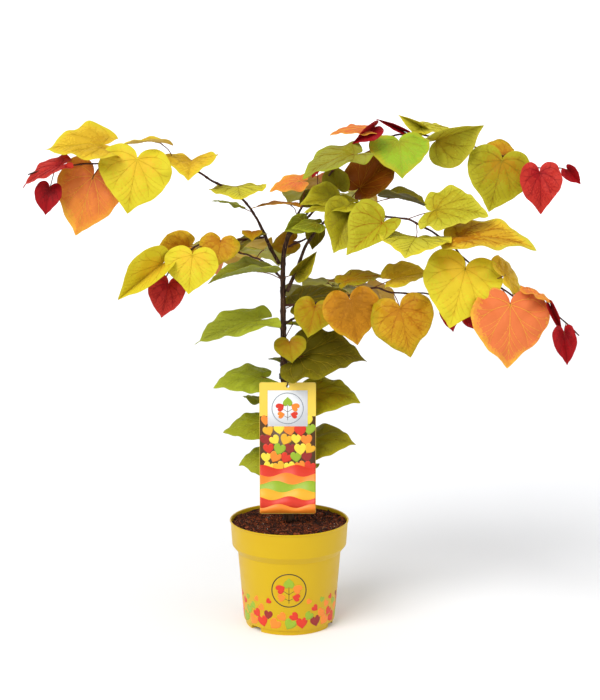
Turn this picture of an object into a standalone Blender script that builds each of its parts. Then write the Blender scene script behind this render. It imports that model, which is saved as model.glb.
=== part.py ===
"""A young redbud in a nursery pot, as separate solids: the pot, its soil, the trunk, two boughs, leafy
sprays, single leaves on the trunk, and a hang tag on a tie. Metres, +Z up, the origin at the centre of the
pot's underside. Rows of leaves and routes are in millimetres."""

import math
import random

import bmesh
import bpy
import numpy as np
from mathutils import Matrix, Vector

MM = 0.001
GAP = 0.3 * MM

# Pot: a turned plastic shell with a deep collar and a notched foot
POT_HEIGHT = 170 * MM
RIM_RADIUS = 95 * MM
COLLAR_HEIGHT = 39.6 * MM
COLLAR_FOOT_RADIUS = 91.3 * MM
STEP_HEIGHT = 11 * MM
BODY_TOP_RADIUS = 82.4 * MM
BODY_FOOT_RADIUS = 73 * MM
FOOT_RADIUS = 70 * MM
FOOT_HEIGHT = 8 * MM
POT_WALL = 2 * MM
PAD_RADIUS = 34 * MM
FOOT_RING = 10 * MM
POT_STEPS = 40
NOTCHES = 3
FIRST_NOTCH = -18
NOTCH_WIDTH = 22 * MM
NOTCH_HEIGHT = 6 * MM

# Soil: it fills the pot to just under the rim, with a level seat for the trunk
SOIL_EDGE = 165 * MM
SOIL_TOP = 167 * MM
SOIL_SHOULDER = (0.6, 0.65)
TRUNK_SEAT_RADIUS = 16 * MM

# Limbs: routes in millimetres, radii from foot to tip
TRUNK_ROUTE = ((-1, 0, 189), (-5, 0, 282), (-8, 0, 395), (-9, 0, 491), (-9, 0, 582), (-3, 0, 616), (5, 2, 637))
TRUNK_FOOT_RADIUS = 7 * MM
TRUNK_TIP_RADIUS = 3.2 * MM
ROOT_FLARE = 3 * MM
FLARE_HEIGHT = 21 * MM
BOUGHS = {
    "bough_left": ((-29, -4, 605), (-38, -6, 626), (-46, -8, 643)),
    "bough_right": ((13, -8, 573), (25, -14, 606), (37, -18, 625)),
}
BOUGH_FORK_HEIGHT = {"bough_left": 579 * MM, "bough_right": 536 * MM}
BOUGH_RADII = (3.0 * MM, 2.3 * MM)
STEM_RADII = (2.0 * MM, 1.0 * MM)
STALK_RADIUS = 0.9 * MM
ROUTE_STEP = 24 * MM
NODE_SPACING = 18 * MM
LOOP_STEPS = 3
WELD = 1e-6

# Leaf blade: a heart, as its reach from the notch at each bearing off the tip, in shares of the midrib
HEART_BEARINGS = (0, 22, 52, 84, 112, 142, 180)
HEART_REACH = (1.0, 0.78, 0.70, 0.63, 0.515, 0.31, 0.02)
BLADE_CROWN = 0.3
BLADE_ARCH = 0.06
BLADE_DOME = 0.10
SHARPEST_CREASE = 2
THINNEST_BLADE = 1.2 * MM
BLADE_SLENDERNESS = 80
STALK_SUNK = 0.12
STALK_LEAN = 0.6
LAST_NODE = 0.985

FACINGS = {
    "front": (0, -1, 0.15),
    "up": (0, -0.25, 1),
    "front_up": (0, -0.7, 0.7),
    "right_up": (0.8, -0.35, 0.6),
    "back_up": (0, 0.4, 0.9),
}

# Hang tag: a card with a punched hole, on a plastic tie round the trunk
TAG_WIDTH = 88 * MM
TAG_BOTTOM = 188 * MM
TAG_TOP = 398 * MM
TAG_THICKNESS = 0.8 * MM
TAG_CENTRE_X = -2 * MM
TAG_DEPTH = -35 * MM
TAG_CORNER = 3 * MM
TAG_HOLE_RADIUS = 2.6 * MM
TAG_HOLE_DROP = 6 * MM
TIE_RADIUS = 1.0 * MM
TIE_HEIGHT = 401 * MM

COLOURS = {
    "pot": (0.72, 0.47, 0.005),
    "soil": (0.07, 0.018, 0.007),
    "bark": (0.07, 0.036, 0.022),
    "card": (0.88, 0.63, 0.07),
    "tie": (0.01, 0.01, 0.01),
    "green": (0.20, 0.20, 0.012),
    "lime": (0.46, 0.43, 0.025),
    "gold": (0.70, 0.42, 0.02),
    "orange": (0.76, 0.25, 0.04),
}
ROUGHNESS = {"pot": 0.35, "card": 0.4, "tie": 0.5}

# Each spray: its joint, its stem's route, and its leaves. A leaf is where its stalk meets the blade, where
# its tip is, which way its face looks, its width in shares of the heart's own, and how many degrees its left
# and its right half fold up from the midrib.
SPRAYS = {
    "spray_left_high": {
        "from": ("bough_left", None),
        "colour": "gold",
        "stem": (
            (-70, -12, 678), (-116, -20, 708), (-187, -32, 743), (-286, -50, 736), (-339, -58, 732),
            (-390, -62, 720),
        ),
        "leaves": (
            ((-80, 30, 667), (-122, 35, 674), "up", 1, (18, -13)),
            ((-79, -20, 700), (-71, -80, 681), "up", 1.1, (4, 2)),
            ((-148, -25, 740), (-149, -85, 711), "up", 1.05, (20, 18)),
            ((-194, -32, 766), (-265, -40, 757), "up", 0.75, (27, -1)),
            ((-226, -64, 742), (-241, -77, 662), "front", 1.05, (0, 0)),
            ((-279, -45, 763), (-366, -55, 753), "up", 1, (-3, 23)),
            ((-293, -56, 717), (-320, -66, 628), "front", 0.86, (0, 0)),
            ((-340, -66, 734), (-398, -72, 701), "up", 0.95, (8, 8)),
            ((-356, -74, 699), (-363, -78, 660), "front", 0.9, (25, 25)),
        ),
    },
    "spray_left_middle": {
        "from": ("bough_left", 622 * MM),
        "colour": "gold",
        "stem": ((-74, -35, 619), (-111, -60, 617), (-144, -80, 611), (-174, -92, 582), (-187, -96, 560)),
        "leaves": (
            ((-56, -40, 632), (-55, -62, 620), "up", 1, (10, 10)),
            ((-84, -25, 607), (-29, -25, 629), "up", 0.9, (1, 11)),
            ((-102, -70, 621), (-109, -85, 582), "front", 1.15, (10, 10)),
            ((-151, -72, 612), (-202, -62, 597), "front", 1, (48, 38)),
            ((-188, -100, 589), (-254, -105, 536), "front", 0.9, (67, 54)),
            ((-142, -110, 603), (-147, -128, 547), "front", 1.06, (0, 0)),
            ((-179, -98, 559), (-190, -98, 508), "front", 0.9, (20, 20)),
        ),
    },
    "spray_right_low": {
        "from": ("trunk", 514 * MM),
        "colour": "gold",
        "stem": (
            (45, -28, 521), (86, -50, 533), (129, -60, 548), (161, -70, 542), (210, -75, 541), (247, -75, 527),
            (262, -75, 511),
        ),
        "leaves": (
            ((40, -50, 519), (29, -55, 471), "front", 1, (0, 10)),
            ((89, -40, 557), (149, -30, 562), "up", 1, (2, 12)),
            ((92, -85, 533), (104, -90, 465), "front", 0.99, (0, 0)),
            ((158, -60, 562), (218, -55, 568), "up", 1, (22, 6)),
            ((167, -95, 522), (183, -100, 448), "front", 1, (0, 0)),
            ((240, -72, 522), (250, -68, 482), "front", 0.6, (20, 20)),
            ((273, -72, 513), (294, -68, 485), "front", 0.82, (20, 20)),
        ),
    },
    "spray_right_middle": {
        "from": ("bough_right", None),
        "colour": "lime",
        "stem": (
            (71, -8, 660), (100, -2, 676), (145, -30, 655), (183, -58, 651), (240, -85, 619), (267, -98, 592),
            (335, -120, 542), (386, -130, 524), (428, -138, 488),
        ),
        "leaves": (
            ((43, -54, 646), (4, -60, 639), "front_up", 0.9, (15, -27)),
            ((93, -44, 676), (23, -58, 663), "front_up", 0.9, (35, -29)),
            ((69, -24, 681), (17, -36, 672), "front_up", 0.9, (34, 13)),
            ((111, 24, 696), (171, 54, 745), "front", 0.9, (35, 54)),
            ((92, -60, 663), (67, -85, 603), "front", 1, (15, 34)),
            ((154, -35, 683), (217, -50, 666), "up", 1, (9, 37)),
            ((140, -75, 648), (86, -100, 602), "front", 1, (62, 5)),
            ((220, -75, 667), (297, -95, 661), "up", 1, (30, -13)),
            ((190, -97, 628), (168, -172, 605), "up", 1.1, (8, 8)),
            ((256, -100, 629), (366, -120, 615), "up", 0.8, (14, 4)),
            ((261, -118, 584), (238, -130, 497), "front", 1.03, (0, 0)),
            ((320, -115, 574), (341, -62, 576), "right_up", 0.9, (0, 0)),
            ((326, -136, 533), (322, -150, 440), "front", 0.96, (0, 0)),
            ((353, -125, 553), (394, -130, 530), "up", 0.8, (-9, 12)),
            ((387, -132, 529), (403, -137, 491), "front", 0.8, (84, 65)),
            ((404, -150, 493), (409, -155, 446), "front", 0.75, (51, 30)),
        ),
    },
    "spray_right_high": {
        "from": ("trunk", 630 * MM),
        "colour": "lime",
        "stem": (
            (56, 25, 676), (96, 45, 719), (130, 55, 753), (160, 60, 773), (209, 65, 776), (302, 72, 755),
            (382, 70, 727), (433, 65, 724),
        ),
        "leaves": (
            ((179, 55, 782), (136, 50, 801), "front", 0.6, (66, 84)),
            ((170, 20, 767), (173, -25, 712), "front", 1.05, (4, 4)),
            ((207, 60, 789), (171, 55, 807), "front", 0.9, (44, 87)),
            ((211, 70, 790), (263, 80, 782), "up", 1, (-2, -3)),
            ((232, 50, 768), (304, 40, 791), "front", 1, (81, -3)),
            ((345, 85, 744), (301, 90, 754), "front_up", 0.9, (11, 11)),
            ((334, 50, 736), (314, 40, 656), "front", 0.98, (0, 0)),
            ((392, 38, 718), (394, 30, 653), "front", 0.85, (25, 20)),
            ((440, 60, 721), (460, 55, 699), "front", 0.9, (63, 33)),
        ),
    },
    "spray_top_middle": {
        "from": ("trunk", None),
        "colour": "orange",
        "stem": ((22, 0, 670), (45, 8, 696), (71, 12, 726), (94, 12, 754), (131, 5, 786)),
        "leaves": (
            ((2, -14, 672), (-59, -22, 665), "up", 0.8, (20, -7)),
            ((17, 18, 706), (-31, 22, 690), "up", 1, (-6, 10)),
            ((36, 26, 681), (14, 22, 665), "front", 1, (31, 39)),
            ((43, 5, 733), (36, 0, 711), "front", 0.6, (20, 20)),
            ((76, 12, 695), (61, 22, 733), "front", 1, (33, 40)),
            ((98, -34, 749), (20, -56, 715), "up", 0.95, (8, 8)),
            ((122, 15, 787), (62, 5, 777), "up", 0.9, (3, -3)),
            ((130, 0, 788), (97, -10, 764), "front", 0.85, (39, 75)),
        ),
    },
    "spray_centre": {
        "from": ("trunk", 606 * MM),
        "colour": "green",
        "stem": ((20, 12, 614), (45, 18, 627), (64, 28, 637)),
        "leaves": (
            ((6, 20, 612), (-31, 22, 601), "front", 0.75, (0, 12)),
            ((23, -26, 646), (-7, -28, 632), "front", 1, (41, 48)),
            ((45, 10, 631), (36, 5, 600), "front", 1, (53, 26)),
        ),
    },
}

# Leaves that grow singly from the trunk, on stalks of their own
TRUNK_STALK_RISE = 0.35
TRUNK_LEAVES = (
    ((-40, -15, 568), (-124, -40, 552), "up", 0.9, (35, 8)),
    ((-48, -15, 493), (-145, -40, 457), "up", 0.9, (12, 4)),
    ((-43, 24, 396), (-120, 4, 383), "up", 0.95, (-5, 4)),
    ((-35, 16, 323), (-105, 4, 309), "up", 0.95, (-9, 3)),
    ((-31, 10, 268), (-82, 14, 256), "up", 1, (-29, 12)),
    ((1, -24, 460), (5, -32, 428), "front", 1.25, (5, 15)),
    ((16, -3, 433), (122, -14, 431), "up", 0.9, (27, -12)),
    ((28, 20, 370), (113, 0, 362), "up", 0.95, (9, -17)),
    ((25, 24, 290), (106, 4, 293), "up", 0.95, (9, -15)),
    ((16, 5, 518), (91, 20, 535), "up", 1, (3, 5)),
    ((13, -22, 569), (43, -28, 601), "front", 0.9, (74, 43)),
    ((0, 50, 240), (6, 122, 222), "back_up", 1, (6, 6)),
    ((-26, 54, 352), (-38, 128, 334), "back_up", 1, (6, 6)),
    ((12, 60, 416), (16, 132, 400), "back_up", 1, (6, 6)),
    ((6, 52, 478), (14, 122, 462), "back_up", 1, (6, 6)),
)

# Sprays on the far side: stems by hand, leaves by a rule that alternates sides and ages the tint
BACK_SPRAYS = {
    "spray_back_left": {
        "from": ("trunk", 556 * MM),
        "colour": "lime",
        "stem": ((-40, 60, 575), (-80, 120, 584), (-120, 180, 584), (-160, 250, 562)),
        "leaves": 7,
    },
    "spray_back_right": {
        "from": ("trunk", 484 * MM),
        "colour": "lime",
        "stem": ((30, 60, 500), (58, 120, 514), (90, 190, 518), (120, 260, 502)),
        "leaves": 7,
    },
    "spray_back_high": {
        "from": ("trunk", 622 * MM),
        "colour": "gold",
        "stem": ((30, 60, 655), (52, 120, 678), (75, 190, 690), (90, 280, 685)),
        "leaves": 8,
    },
}
BACK_LEAF_LENGTHS = (78, 58)
BACK_LEAF_DROOP = (0.25, 1.0)
BARE_STEM = 0.25
FIRST_LEAF = 0.6
OLD_FORM = (1, (8, 8))
YOUNG_FORM = (0.82, (20, 20))
YOUNG_FROM = 0.857


def clear_scene():
    for obj in list(bpy.data.objects):
        bpy.data.objects.remove(obj, do_unlink=True)


def collection(name):
    group = bpy.data.collections.new(name)
    bpy.context.scene.collection.children.link(group)
    return group


def material(name):
    surface = bpy.data.materials.get(name)
    if surface:
        return surface
    surface = bpy.data.materials.new(name)
    surface.use_nodes = True
    shader = surface.node_tree.nodes["Principled BSDF"]
    shader.inputs["Base Color"].default_value = (*COLOURS[name], 1)
    shader.inputs["Roughness"].default_value = ROUGHNESS.get(name, 0.7)
    shader.inputs["Metallic"].default_value = 0
    return surface


def piece(name, mesh, group, surface):
    """An object of the plant, in its collection, with its material."""
    obj = bpy.data.objects.new(name, mesh)
    group.objects.link(obj)
    mesh.materials.clear()
    mesh.materials.append(material(surface))
    return obj


def place(point):
    return Vector(point) * MM


def between(before, start, end, after, t):
    """A point of a Catmull-Rom curve, at share t of the stretch from start to end."""
    bend = 2 * before - 5 * start + 4 * end - after
    turn = 3 * start - before - 3 * end + after
    return 0.5 * (2 * start + (end - before) * t + bend * t**2 + turn * t**3)


def smooth_route(points):
    """The points of a smooth curve through the given ones, about ROUTE_STEP apart."""
    ends = [points[0] * 2 - points[1], *points, points[-1] * 2 - points[-2]]
    route = [points[0]]
    for before, start, end, after in zip(ends, ends[1:], ends[2:], ends[3:]):
        steps = max(1, round((end - start).length / ROUTE_STEP))
        route += [between(before, start, end, after, step / steps) for step in range(1, steps + 1)]
    return route


def smooth_loop(points):
    """The points of a smooth closed curve through the given ones, LOOP_STEPS to a stretch."""
    count = len(points)
    loop = []
    for index in range(count):
        stretch = [points[(index + offset) % count] for offset in (-1, 0, 1, 2)]
        loop += [between(*stretch, step / LOOP_STEPS) for step in range(LOOP_STEPS)]
    return loop


def shares(route):
    """How far along the route each of its points lies, from 0 to 1, and the route's length."""
    steps = np.cumsum([0] + [(b - a).length for a, b in zip(route, route[1:])])
    return steps / steps[-1], steps[-1]


def point_at(route, share):
    """The point and the direction of a route at a share of its length."""
    along, _ = shares(route)
    index = min(max(int(np.searchsorted(along, share)) - 1, 0), len(route) - 2)
    start, end = route[index], route[index + 1]
    t = (share - along[index]) / (along[index + 1] - along[index])
    return start.lerp(end, t), (end - start).normalized()


def tube(route, radii, resolution):
    """A closed mesh: a round bar along the route, with a radius at each point and flat ends."""
    curve = bpy.data.curves.new("tube", "CURVE")
    curve.dimensions = "3D"
    curve.bevel_depth = 1
    curve.bevel_resolution = resolution
    curve.use_fill_caps = True
    spline = curve.splines.new("POLY")
    spline.points.add(len(route) - 1)
    for point, spot, radius in zip(spline.points, route, radii):
        point.co = (*spot, 1)
        point.radius = radius
    guide = bpy.data.objects.new("tube", curve)
    bpy.context.scene.collection.objects.link(guide)
    graph = bpy.context.evaluated_depsgraph_get()
    mesh = bpy.data.meshes.new_from_object(guide.evaluated_get(graph))
    bpy.data.objects.remove(guide)
    bpy.data.curves.remove(curve)
    bm = bmesh.new()
    bm.from_mesh(mesh)
    bmesh.ops.remove_doubles(bm, verts=bm.verts, dist=WELD)
    bmesh.ops.recalc_face_normals(bm, faces=bm.faces)
    bm.to_mesh(mesh)
    bm.free()
    return mesh


def taper(route, radii):
    along, _ = shares(route)
    return [radii[0] + (radii[1] - radii[0]) * share for share in along]


def finished(bm, name):
    """The mesh of a bmesh, which is given back."""
    mesh = bpy.data.meshes.new(name)
    bm.to_mesh(mesh)
    bm.free()
    return mesh


def cutter(name, bm, group):
    """A hidden object that a boolean cuts away."""
    obj = bpy.data.objects.new(name, finished(bm, name))
    group.objects.link(obj)
    obj.hide_render = True
    obj.display_type = "WIRE"
    return obj


def turned(name, profile, steps, group, surface):
    """A solid turned about Z from a profile of (radius, height) that runs down its outer side."""
    mesh = bpy.data.meshes.new(name)
    edges = [(i, i + 1) for i in range(len(profile) - 1)]
    mesh.from_pydata([(radius, 0, height) for radius, height in profile], edges, [])
    obj = piece(name, mesh, group, surface)
    screw = obj.modifiers.new("turn", "SCREW")
    screw.steps = steps
    screw.render_steps = steps
    screw.use_merge_vertices = True
    screw.merge_threshold = WELD
    return obj


def pot_wall_radius(height):
    """The pot's outer radius at a height, from its foot to its rim."""
    collar_foot = POT_HEIGHT - COLLAR_HEIGHT
    heights = (FOOT_HEIGHT, collar_foot - STEP_HEIGHT, collar_foot, POT_HEIGHT)
    return float(np.interp(height, heights, (BODY_FOOT_RADIUS, BODY_TOP_RADIUS, COLLAR_FOOT_RADIUS, RIM_RADIUS)))


def pot(group, cutters):
    """The shell: from the inner floor up the inner wall, over the rim, and down to the ringed underside."""
    collar_foot = POT_HEIGHT - COLLAR_HEIGHT
    step_foot = collar_foot - STEP_HEIGHT
    floor_low = POT_WALL
    floor_high = FOOT_HEIGHT + POT_WALL
    ring_inner = FOOT_RADIUS - FOOT_RING
    profile = [
        (0, floor_low),
        (PAD_RADIUS - POT_WALL, floor_low),
        (PAD_RADIUS + POT_WALL, floor_high),
        (BODY_FOOT_RADIUS - POT_WALL, floor_high),
        (BODY_TOP_RADIUS - POT_WALL, step_foot + POT_WALL),
        (COLLAR_FOOT_RADIUS - POT_WALL, collar_foot + POT_WALL),
        (RIM_RADIUS - POT_WALL, POT_HEIGHT),
        (RIM_RADIUS, POT_HEIGHT),
        (COLLAR_FOOT_RADIUS, collar_foot),
        (BODY_TOP_RADIUS, step_foot),
        (BODY_FOOT_RADIUS, FOOT_HEIGHT),
        (FOOT_RADIUS, FOOT_HEIGHT),
        (FOOT_RADIUS, 0),
        (ring_inner, 0),
        (ring_inner, FOOT_HEIGHT),
        (PAD_RADIUS + POT_WALL, FOOT_HEIGHT),
        (PAD_RADIUS, 0),
        (0, 0),
    ]
    shell = turned("pot", profile, POT_STEPS, group, "pot")
    for number in range(NOTCHES):
        bm = bmesh.new()
        bmesh.ops.create_cube(bm, size=1)
        bmesh.ops.scale(bm, verts=bm.verts, vec=(FOOT_RING + 2 * POT_WALL, NOTCH_WIDTH, 2 * NOTCH_HEIGHT))
        bmesh.ops.translate(bm, verts=bm.verts, vec=(FOOT_RADIUS - FOOT_RING / 2, 0, 0))
        turn = Matrix.Rotation(math.radians(FIRST_NOTCH + 360 * number / NOTCHES), 4, "Z")
        bmesh.ops.transform(bm, verts=bm.verts, matrix=turn)
        cutter(f"notch_{number}", bm, cutters)
    cut = shell.modifiers.new("notches", "BOOLEAN")
    cut.operation = "DIFFERENCE"
    cut.operand_type = "COLLECTION"
    cut.collection = cutters
    return shell


def soil(group):
    """The root ball: it fills the shell with a little room round it, and rises to the trunk's seat."""
    collar_foot = POT_HEIGHT - COLLAR_HEIGHT
    step_foot = collar_foot - STEP_HEIGHT
    room = POT_WALL + GAP
    floor = FOOT_HEIGHT + POT_WALL + GAP
    shoulder, rise = SOIL_SHOULDER
    profile = [
        (0, SOIL_TOP),
        (TRUNK_SEAT_RADIUS, SOIL_TOP),
        (shoulder * RIM_RADIUS, SOIL_EDGE + rise * (SOIL_TOP - SOIL_EDGE)),
        (pot_wall_radius(SOIL_EDGE) - room, SOIL_EDGE),
        (COLLAR_FOOT_RADIUS - room, collar_foot + room),
        (BODY_TOP_RADIUS - room, step_foot + room),
        (BODY_FOOT_RADIUS - room, floor),
        (0, floor),
    ]
    return turned("soil", profile, POT_STEPS, group, "soil")


def limb_at(limb, height):
    """The axis point, direction and radius of a limb at a height."""
    route, radii = limb
    for start, end, first, last in zip(route, route[1:], radii, radii[1:]):
        if start.z <= height <= end.z:
            t = (height - start.z) / (end.z - start.z)
            return start.lerp(end, t), (end - start).normalized(), first + (last - first) * t
    return route[-1], (route[-1] - route[-2]).normalized(), radii[-1]


def beside(limb, height, target, radius):
    """Where a stem of a radius starts beside a limb, clear of its bark, when it heads for the target."""
    axis, direction, girth = limb_at(limb, height)
    heading = (target - axis).normalized()
    lean = heading.dot(direction)
    outward = (heading - direction * lean).normalized()
    return axis + outward * (girth + GAP + radius * abs(lean))


def stem_start(limbs, joint, target, radius):
    """The first points of a stem: off a limb's tip, cap to cap, or beside the limb at a height."""
    name, height = joint
    limb = limbs[name]
    if height is not None:
        return [beside(limb, height, target, radius)]
    tip, direction, _ = limb_at(limb, limb[0][-1].z)
    return [tip + direction * GAP, tip + direction * (GAP + 3 * radius)]


def trunk_limb():
    """The trunk's route and radii: a level cut at the soil, a flare, then an even taper to the fork."""
    foot = SOIL_TOP + GAP
    upright = smooth_route(list(map(place, TRUNK_ROUTE)))
    base = upright[0]
    route = [Vector((base.x, base.y, height)) for height in (foot, foot + FLARE_HEIGHT / 3)] + upright
    radii = taper(route, (TRUNK_FOOT_RADIUS, TRUNK_TIP_RADIUS))
    radii[0] += ROOT_FLARE
    radii[1] += ROOT_FLARE / 3
    return route, radii


def make_limbs(group):
    limbs = {"trunk": trunk_limb()}
    for name, points in BOUGHS.items():
        points = list(map(place, points))
        start = beside(limbs["trunk"], BOUGH_FORK_HEIGHT[name], points[0], BOUGH_RADII[0])
        route = smooth_route([start, *points])
        limbs[name] = (route, taper(route, BOUGH_RADII))
    for name, (route, radii) in limbs.items():
        piece(name, tube(route, radii, 2), group, "bark")
    return limbs


def leaf_frame(notch, tip, facing):
    """The blade's own axes at its notch: along the midrib, across it, and out of its face."""
    along = (tip - notch).normalized()
    face = Vector(FACINGS[facing]) if isinstance(facing, str) else facing
    face = (face - along * face.dot(along)).normalized()
    across = face.cross(along)
    frame = Matrix((along, across, face)).transposed().to_4x4()
    frame.translation = notch
    return frame


def on_blade(forward, sideways, folds):
    """A place on the face of a folded blade, in shares of the midrib: forward, across and out."""
    fold = math.radians(folds[0] if sideways > 0 else folds[1])
    height = BLADE_ARCH * 4 * forward * (1 - forward) - BLADE_DOME * sideways**2
    return Vector((forward, sideways * math.cos(fold), height + abs(sideways) * math.sin(fold)))


def underside(sideways, folds):
    """The way from the face to the underside: square to the half that a place is on, or down the crease."""
    left, right = map(math.radians, folds)
    if sideways > WELD:
        return Vector((0, math.sin(left), -math.cos(left)))
    if sideways < -WELD:
        return Vector((0, -math.sin(right), -math.cos(right)))
    down = Vector((0, math.sin(left) - math.sin(right), -math.cos(left) - math.cos(right))).normalized()
    return down * min(SHARPEST_CREASE, 1 / math.cos((left + right) / 2))


def blade_thickness(length):
    return max(THINNEST_BLADE, length / BLADE_SLENDERNESS)


def blade(frame, length, width, folds):
    """A closed mesh: a heart-shaped blade that arches along its midrib and folds at it."""
    bm = bmesh.new()
    half = len(HEART_BEARINGS) - 1
    bmesh.ops.create_circle(bm, cap_ends=True, cap_tris=True, segments=2 * half, radius=1)
    side = bm.verts.layers.float.new("side")
    for vertex in bm.verts:
        turn = math.atan2(vertex.co.x, vertex.co.y)
        step = round(abs(turn) / math.pi * half)
        bearing = math.copysign(math.radians(HEART_BEARINGS[step]), turn)
        forward = HEART_REACH[step] * math.cos(bearing)
        sideways = HEART_REACH[step] * math.sin(bearing) * width
        if vertex.co.length < 0.5:
            forward, sideways = BLADE_CROWN, 0
        vertex.co = on_blade(forward, sideways, folds) * length
        vertex[side] = sideways
    lower = bmesh.ops.extrude_face_region(bm, geom=bm.faces[:])["geom"]
    for item in lower:
        if isinstance(item, bmesh.types.BMVert):
            item.co += underside(item[side], folds) * blade_thickness(length)
    bmesh.ops.recalc_face_normals(bm, faces=bm.faces)
    bmesh.ops.transform(bm, verts=bm.verts, matrix=frame)
    return finished(bm, "blade")


def leaf(start, notch, tip, facing, width, folds):
    """A leaf's two meshes: its blade, and its stalk from the start point to well inside the blade."""
    frame = leaf_frame(notch, tip, facing)
    length = (tip - notch).length
    crown = on_blade(BLADE_CROWN, 0, folds).z * length
    middle = crown * STALK_SUNK / BLADE_CROWN - blade_thickness(length) / 2
    end = frame @ Vector((STALK_SUNK * length, 0, middle))
    under = frame @ Vector((0, 0, -blade_thickness(length) / 2))
    stalk = tube([start, under, end], [STALK_RADIUS] * 3, 0)
    return [stalk, blade(frame, length, width, folds)]


def fuse(name, meshes, group, surface):
    """One closed solid from overlapping meshes, by a union of the first with a collection of the others."""
    base = piece(name, meshes[0], group, surface)
    rest = collection(f"{name}_rest")
    for number, mesh in enumerate(meshes[1:]):
        rest.objects.link(bpy.data.objects.new(f"{name}_{number}", mesh))
    join = base.modifiers.new("join", "BOOLEAN")
    join.operation = "UNION"
    join.operand_type = "COLLECTION"
    join.collection = rest
    join.solver = "MANIFOLD"
    graph = bpy.context.evaluated_depsgraph_get()
    joined = bpy.data.meshes.new_from_object(base.evaluated_get(graph))
    base.modifiers.clear()
    base.data = joined
    for obj in list(rest.objects):
        bpy.data.objects.remove(obj)
    bpy.data.collections.remove(rest)
    joined.materials.clear()
    joined.materials.append(material(surface))
    return base


def leaf_nodes(route):
    """Evenly spaced joints along a stem, each with its point and direction, the last one near its tip."""
    count = max(2, int(shares(route)[1] / NODE_SPACING))
    return [point_at(route, LAST_NODE * number / count) for number in range(1, count + 1)]


def pick_node(nodes, notch):
    """The free joint that a stalk reaches the notch from, leaning towards the stem's tip."""

    def cost(node):
        spot, direction = node
        reach = notch - spot
        return reach.length - STALK_LEAN * reach.dot(direction)

    chosen = min(nodes, key=cost)
    nodes.remove(chosen)
    return chosen[0]


def spray(name, plan, limbs, group):
    """A twig with its leaves, each on a stalk from the twig's nearest free joint."""
    stem_points = list(map(place, plan["stem"]))
    start = stem_start(limbs, plan["from"], stem_points[0], STEM_RADII[0])
    route = start[:-1] + smooth_route([start[-1], *stem_points])
    meshes = [tube(route, taper(route, STEM_RADII), 0)]
    nodes = leaf_nodes(route)
    rows = plan["leaves"]
    if isinstance(rows, int):
        rows = grown_leaves(name, route, rows)
    for notch, tip, facing, width, folds in rows:
        notch, tip = place(notch), place(tip)
        meshes += leaf(pick_node(nodes, notch), notch, tip, facing, width, folds)
    return fuse(name, meshes, group, plan["colour"])


def grown_leaves(name, route, count):
    """Rows for the leaves of a far-side spray: alternate sides, smaller, younger and steeper to the tip."""
    draw = random.Random(name)
    up = Vector((0, 0, 1))
    rows = []
    for number in range(count):
        share = BARE_STEM + (1 - BARE_STEM) * (number + FIRST_LEAF) / count
        spot, forward = point_at(route, share)
        spot = spot / MM
        aside = forward.cross(up).normalized() * (-1) ** number
        size = float(np.interp(share, (0, 1), BACK_LEAF_LENGTHS)) * draw.uniform(0.88, 1.12)
        droop = float(np.interp(share, (0, 1), BACK_LEAF_DROOP)) + draw.uniform(-0.1, 0.1)
        notch = spot + (aside * 0.34 + forward * 0.2 + up * 0.12) * size
        heading = (aside * 0.8 + forward * 0.6 - up * droop).normalized()
        facing = up + (aside * 0.5 + forward * 0.9) * share
        form = YOUNG_FORM if share > YOUNG_FROM else OLD_FORM
        rows.append((notch, notch + heading * size, facing, *form))
    return rows


def trunk_leaf(number, row, limbs, group):
    """A single leaf on a stalk that starts beside the trunk, a little below the leaf's notch."""
    notch, tip, facing, width, folds = row
    notch, tip = place(notch), place(tip)
    trunk = limbs["trunk"]
    axis, _, _ = limb_at(trunk, notch.z)
    height = notch.z - TRUNK_STALK_RISE * (notch - axis).length
    start = beside(trunk, height, notch, STALK_RADIUS)
    stalk, heart = leaf(start, notch, tip, facing, width, folds)
    return fuse(f"trunk_leaf_{number}", [heart, stalk], group, "green")


def tag_hole_height():
    return TAG_TOP - TAG_HOLE_DROP


def tag(group, cutters):
    """The card, its upright corners rounded, with a hole punched near its top edge."""
    bm = bmesh.new()
    bmesh.ops.create_cube(bm, size=1)
    bmesh.ops.scale(bm, verts=bm.verts, vec=(TAG_WIDTH, TAG_THICKNESS, TAG_TOP - TAG_BOTTOM))
    corners = [edge for edge in bm.edges if abs(edge.verts[0].co.y - edge.verts[1].co.y) > TAG_THICKNESS / 2]
    bmesh.ops.bevel(bm, geom=corners, offset=TAG_CORNER, offset_type="OFFSET", segments=3, profile=0.5,
                    affect="EDGES", material=-1)
    bmesh.ops.translate(bm, verts=bm.verts, vec=(TAG_CENTRE_X, TAG_DEPTH, (TAG_TOP + TAG_BOTTOM) / 2))
    card = piece("hang_tag", finished(bm, "hang_tag"), group, "card")
    bm = bmesh.new()
    bmesh.ops.create_cone(bm, cap_ends=True, segments=16, radius1=TAG_HOLE_RADIUS, radius2=TAG_HOLE_RADIUS,
                          depth=8 * TAG_THICKNESS)
    turn = Matrix.Translation((TAG_CENTRE_X, TAG_DEPTH, tag_hole_height())) @ Matrix.Rotation(math.pi / 2, 4, "X")
    bmesh.ops.transform(bm, verts=bm.verts, matrix=turn)
    cut = card.modifiers.new("hole", "BOOLEAN")
    cut.operation = "DIFFERENCE"
    cut.object = cutter("punch", bm, cutters)
    return card


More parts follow.
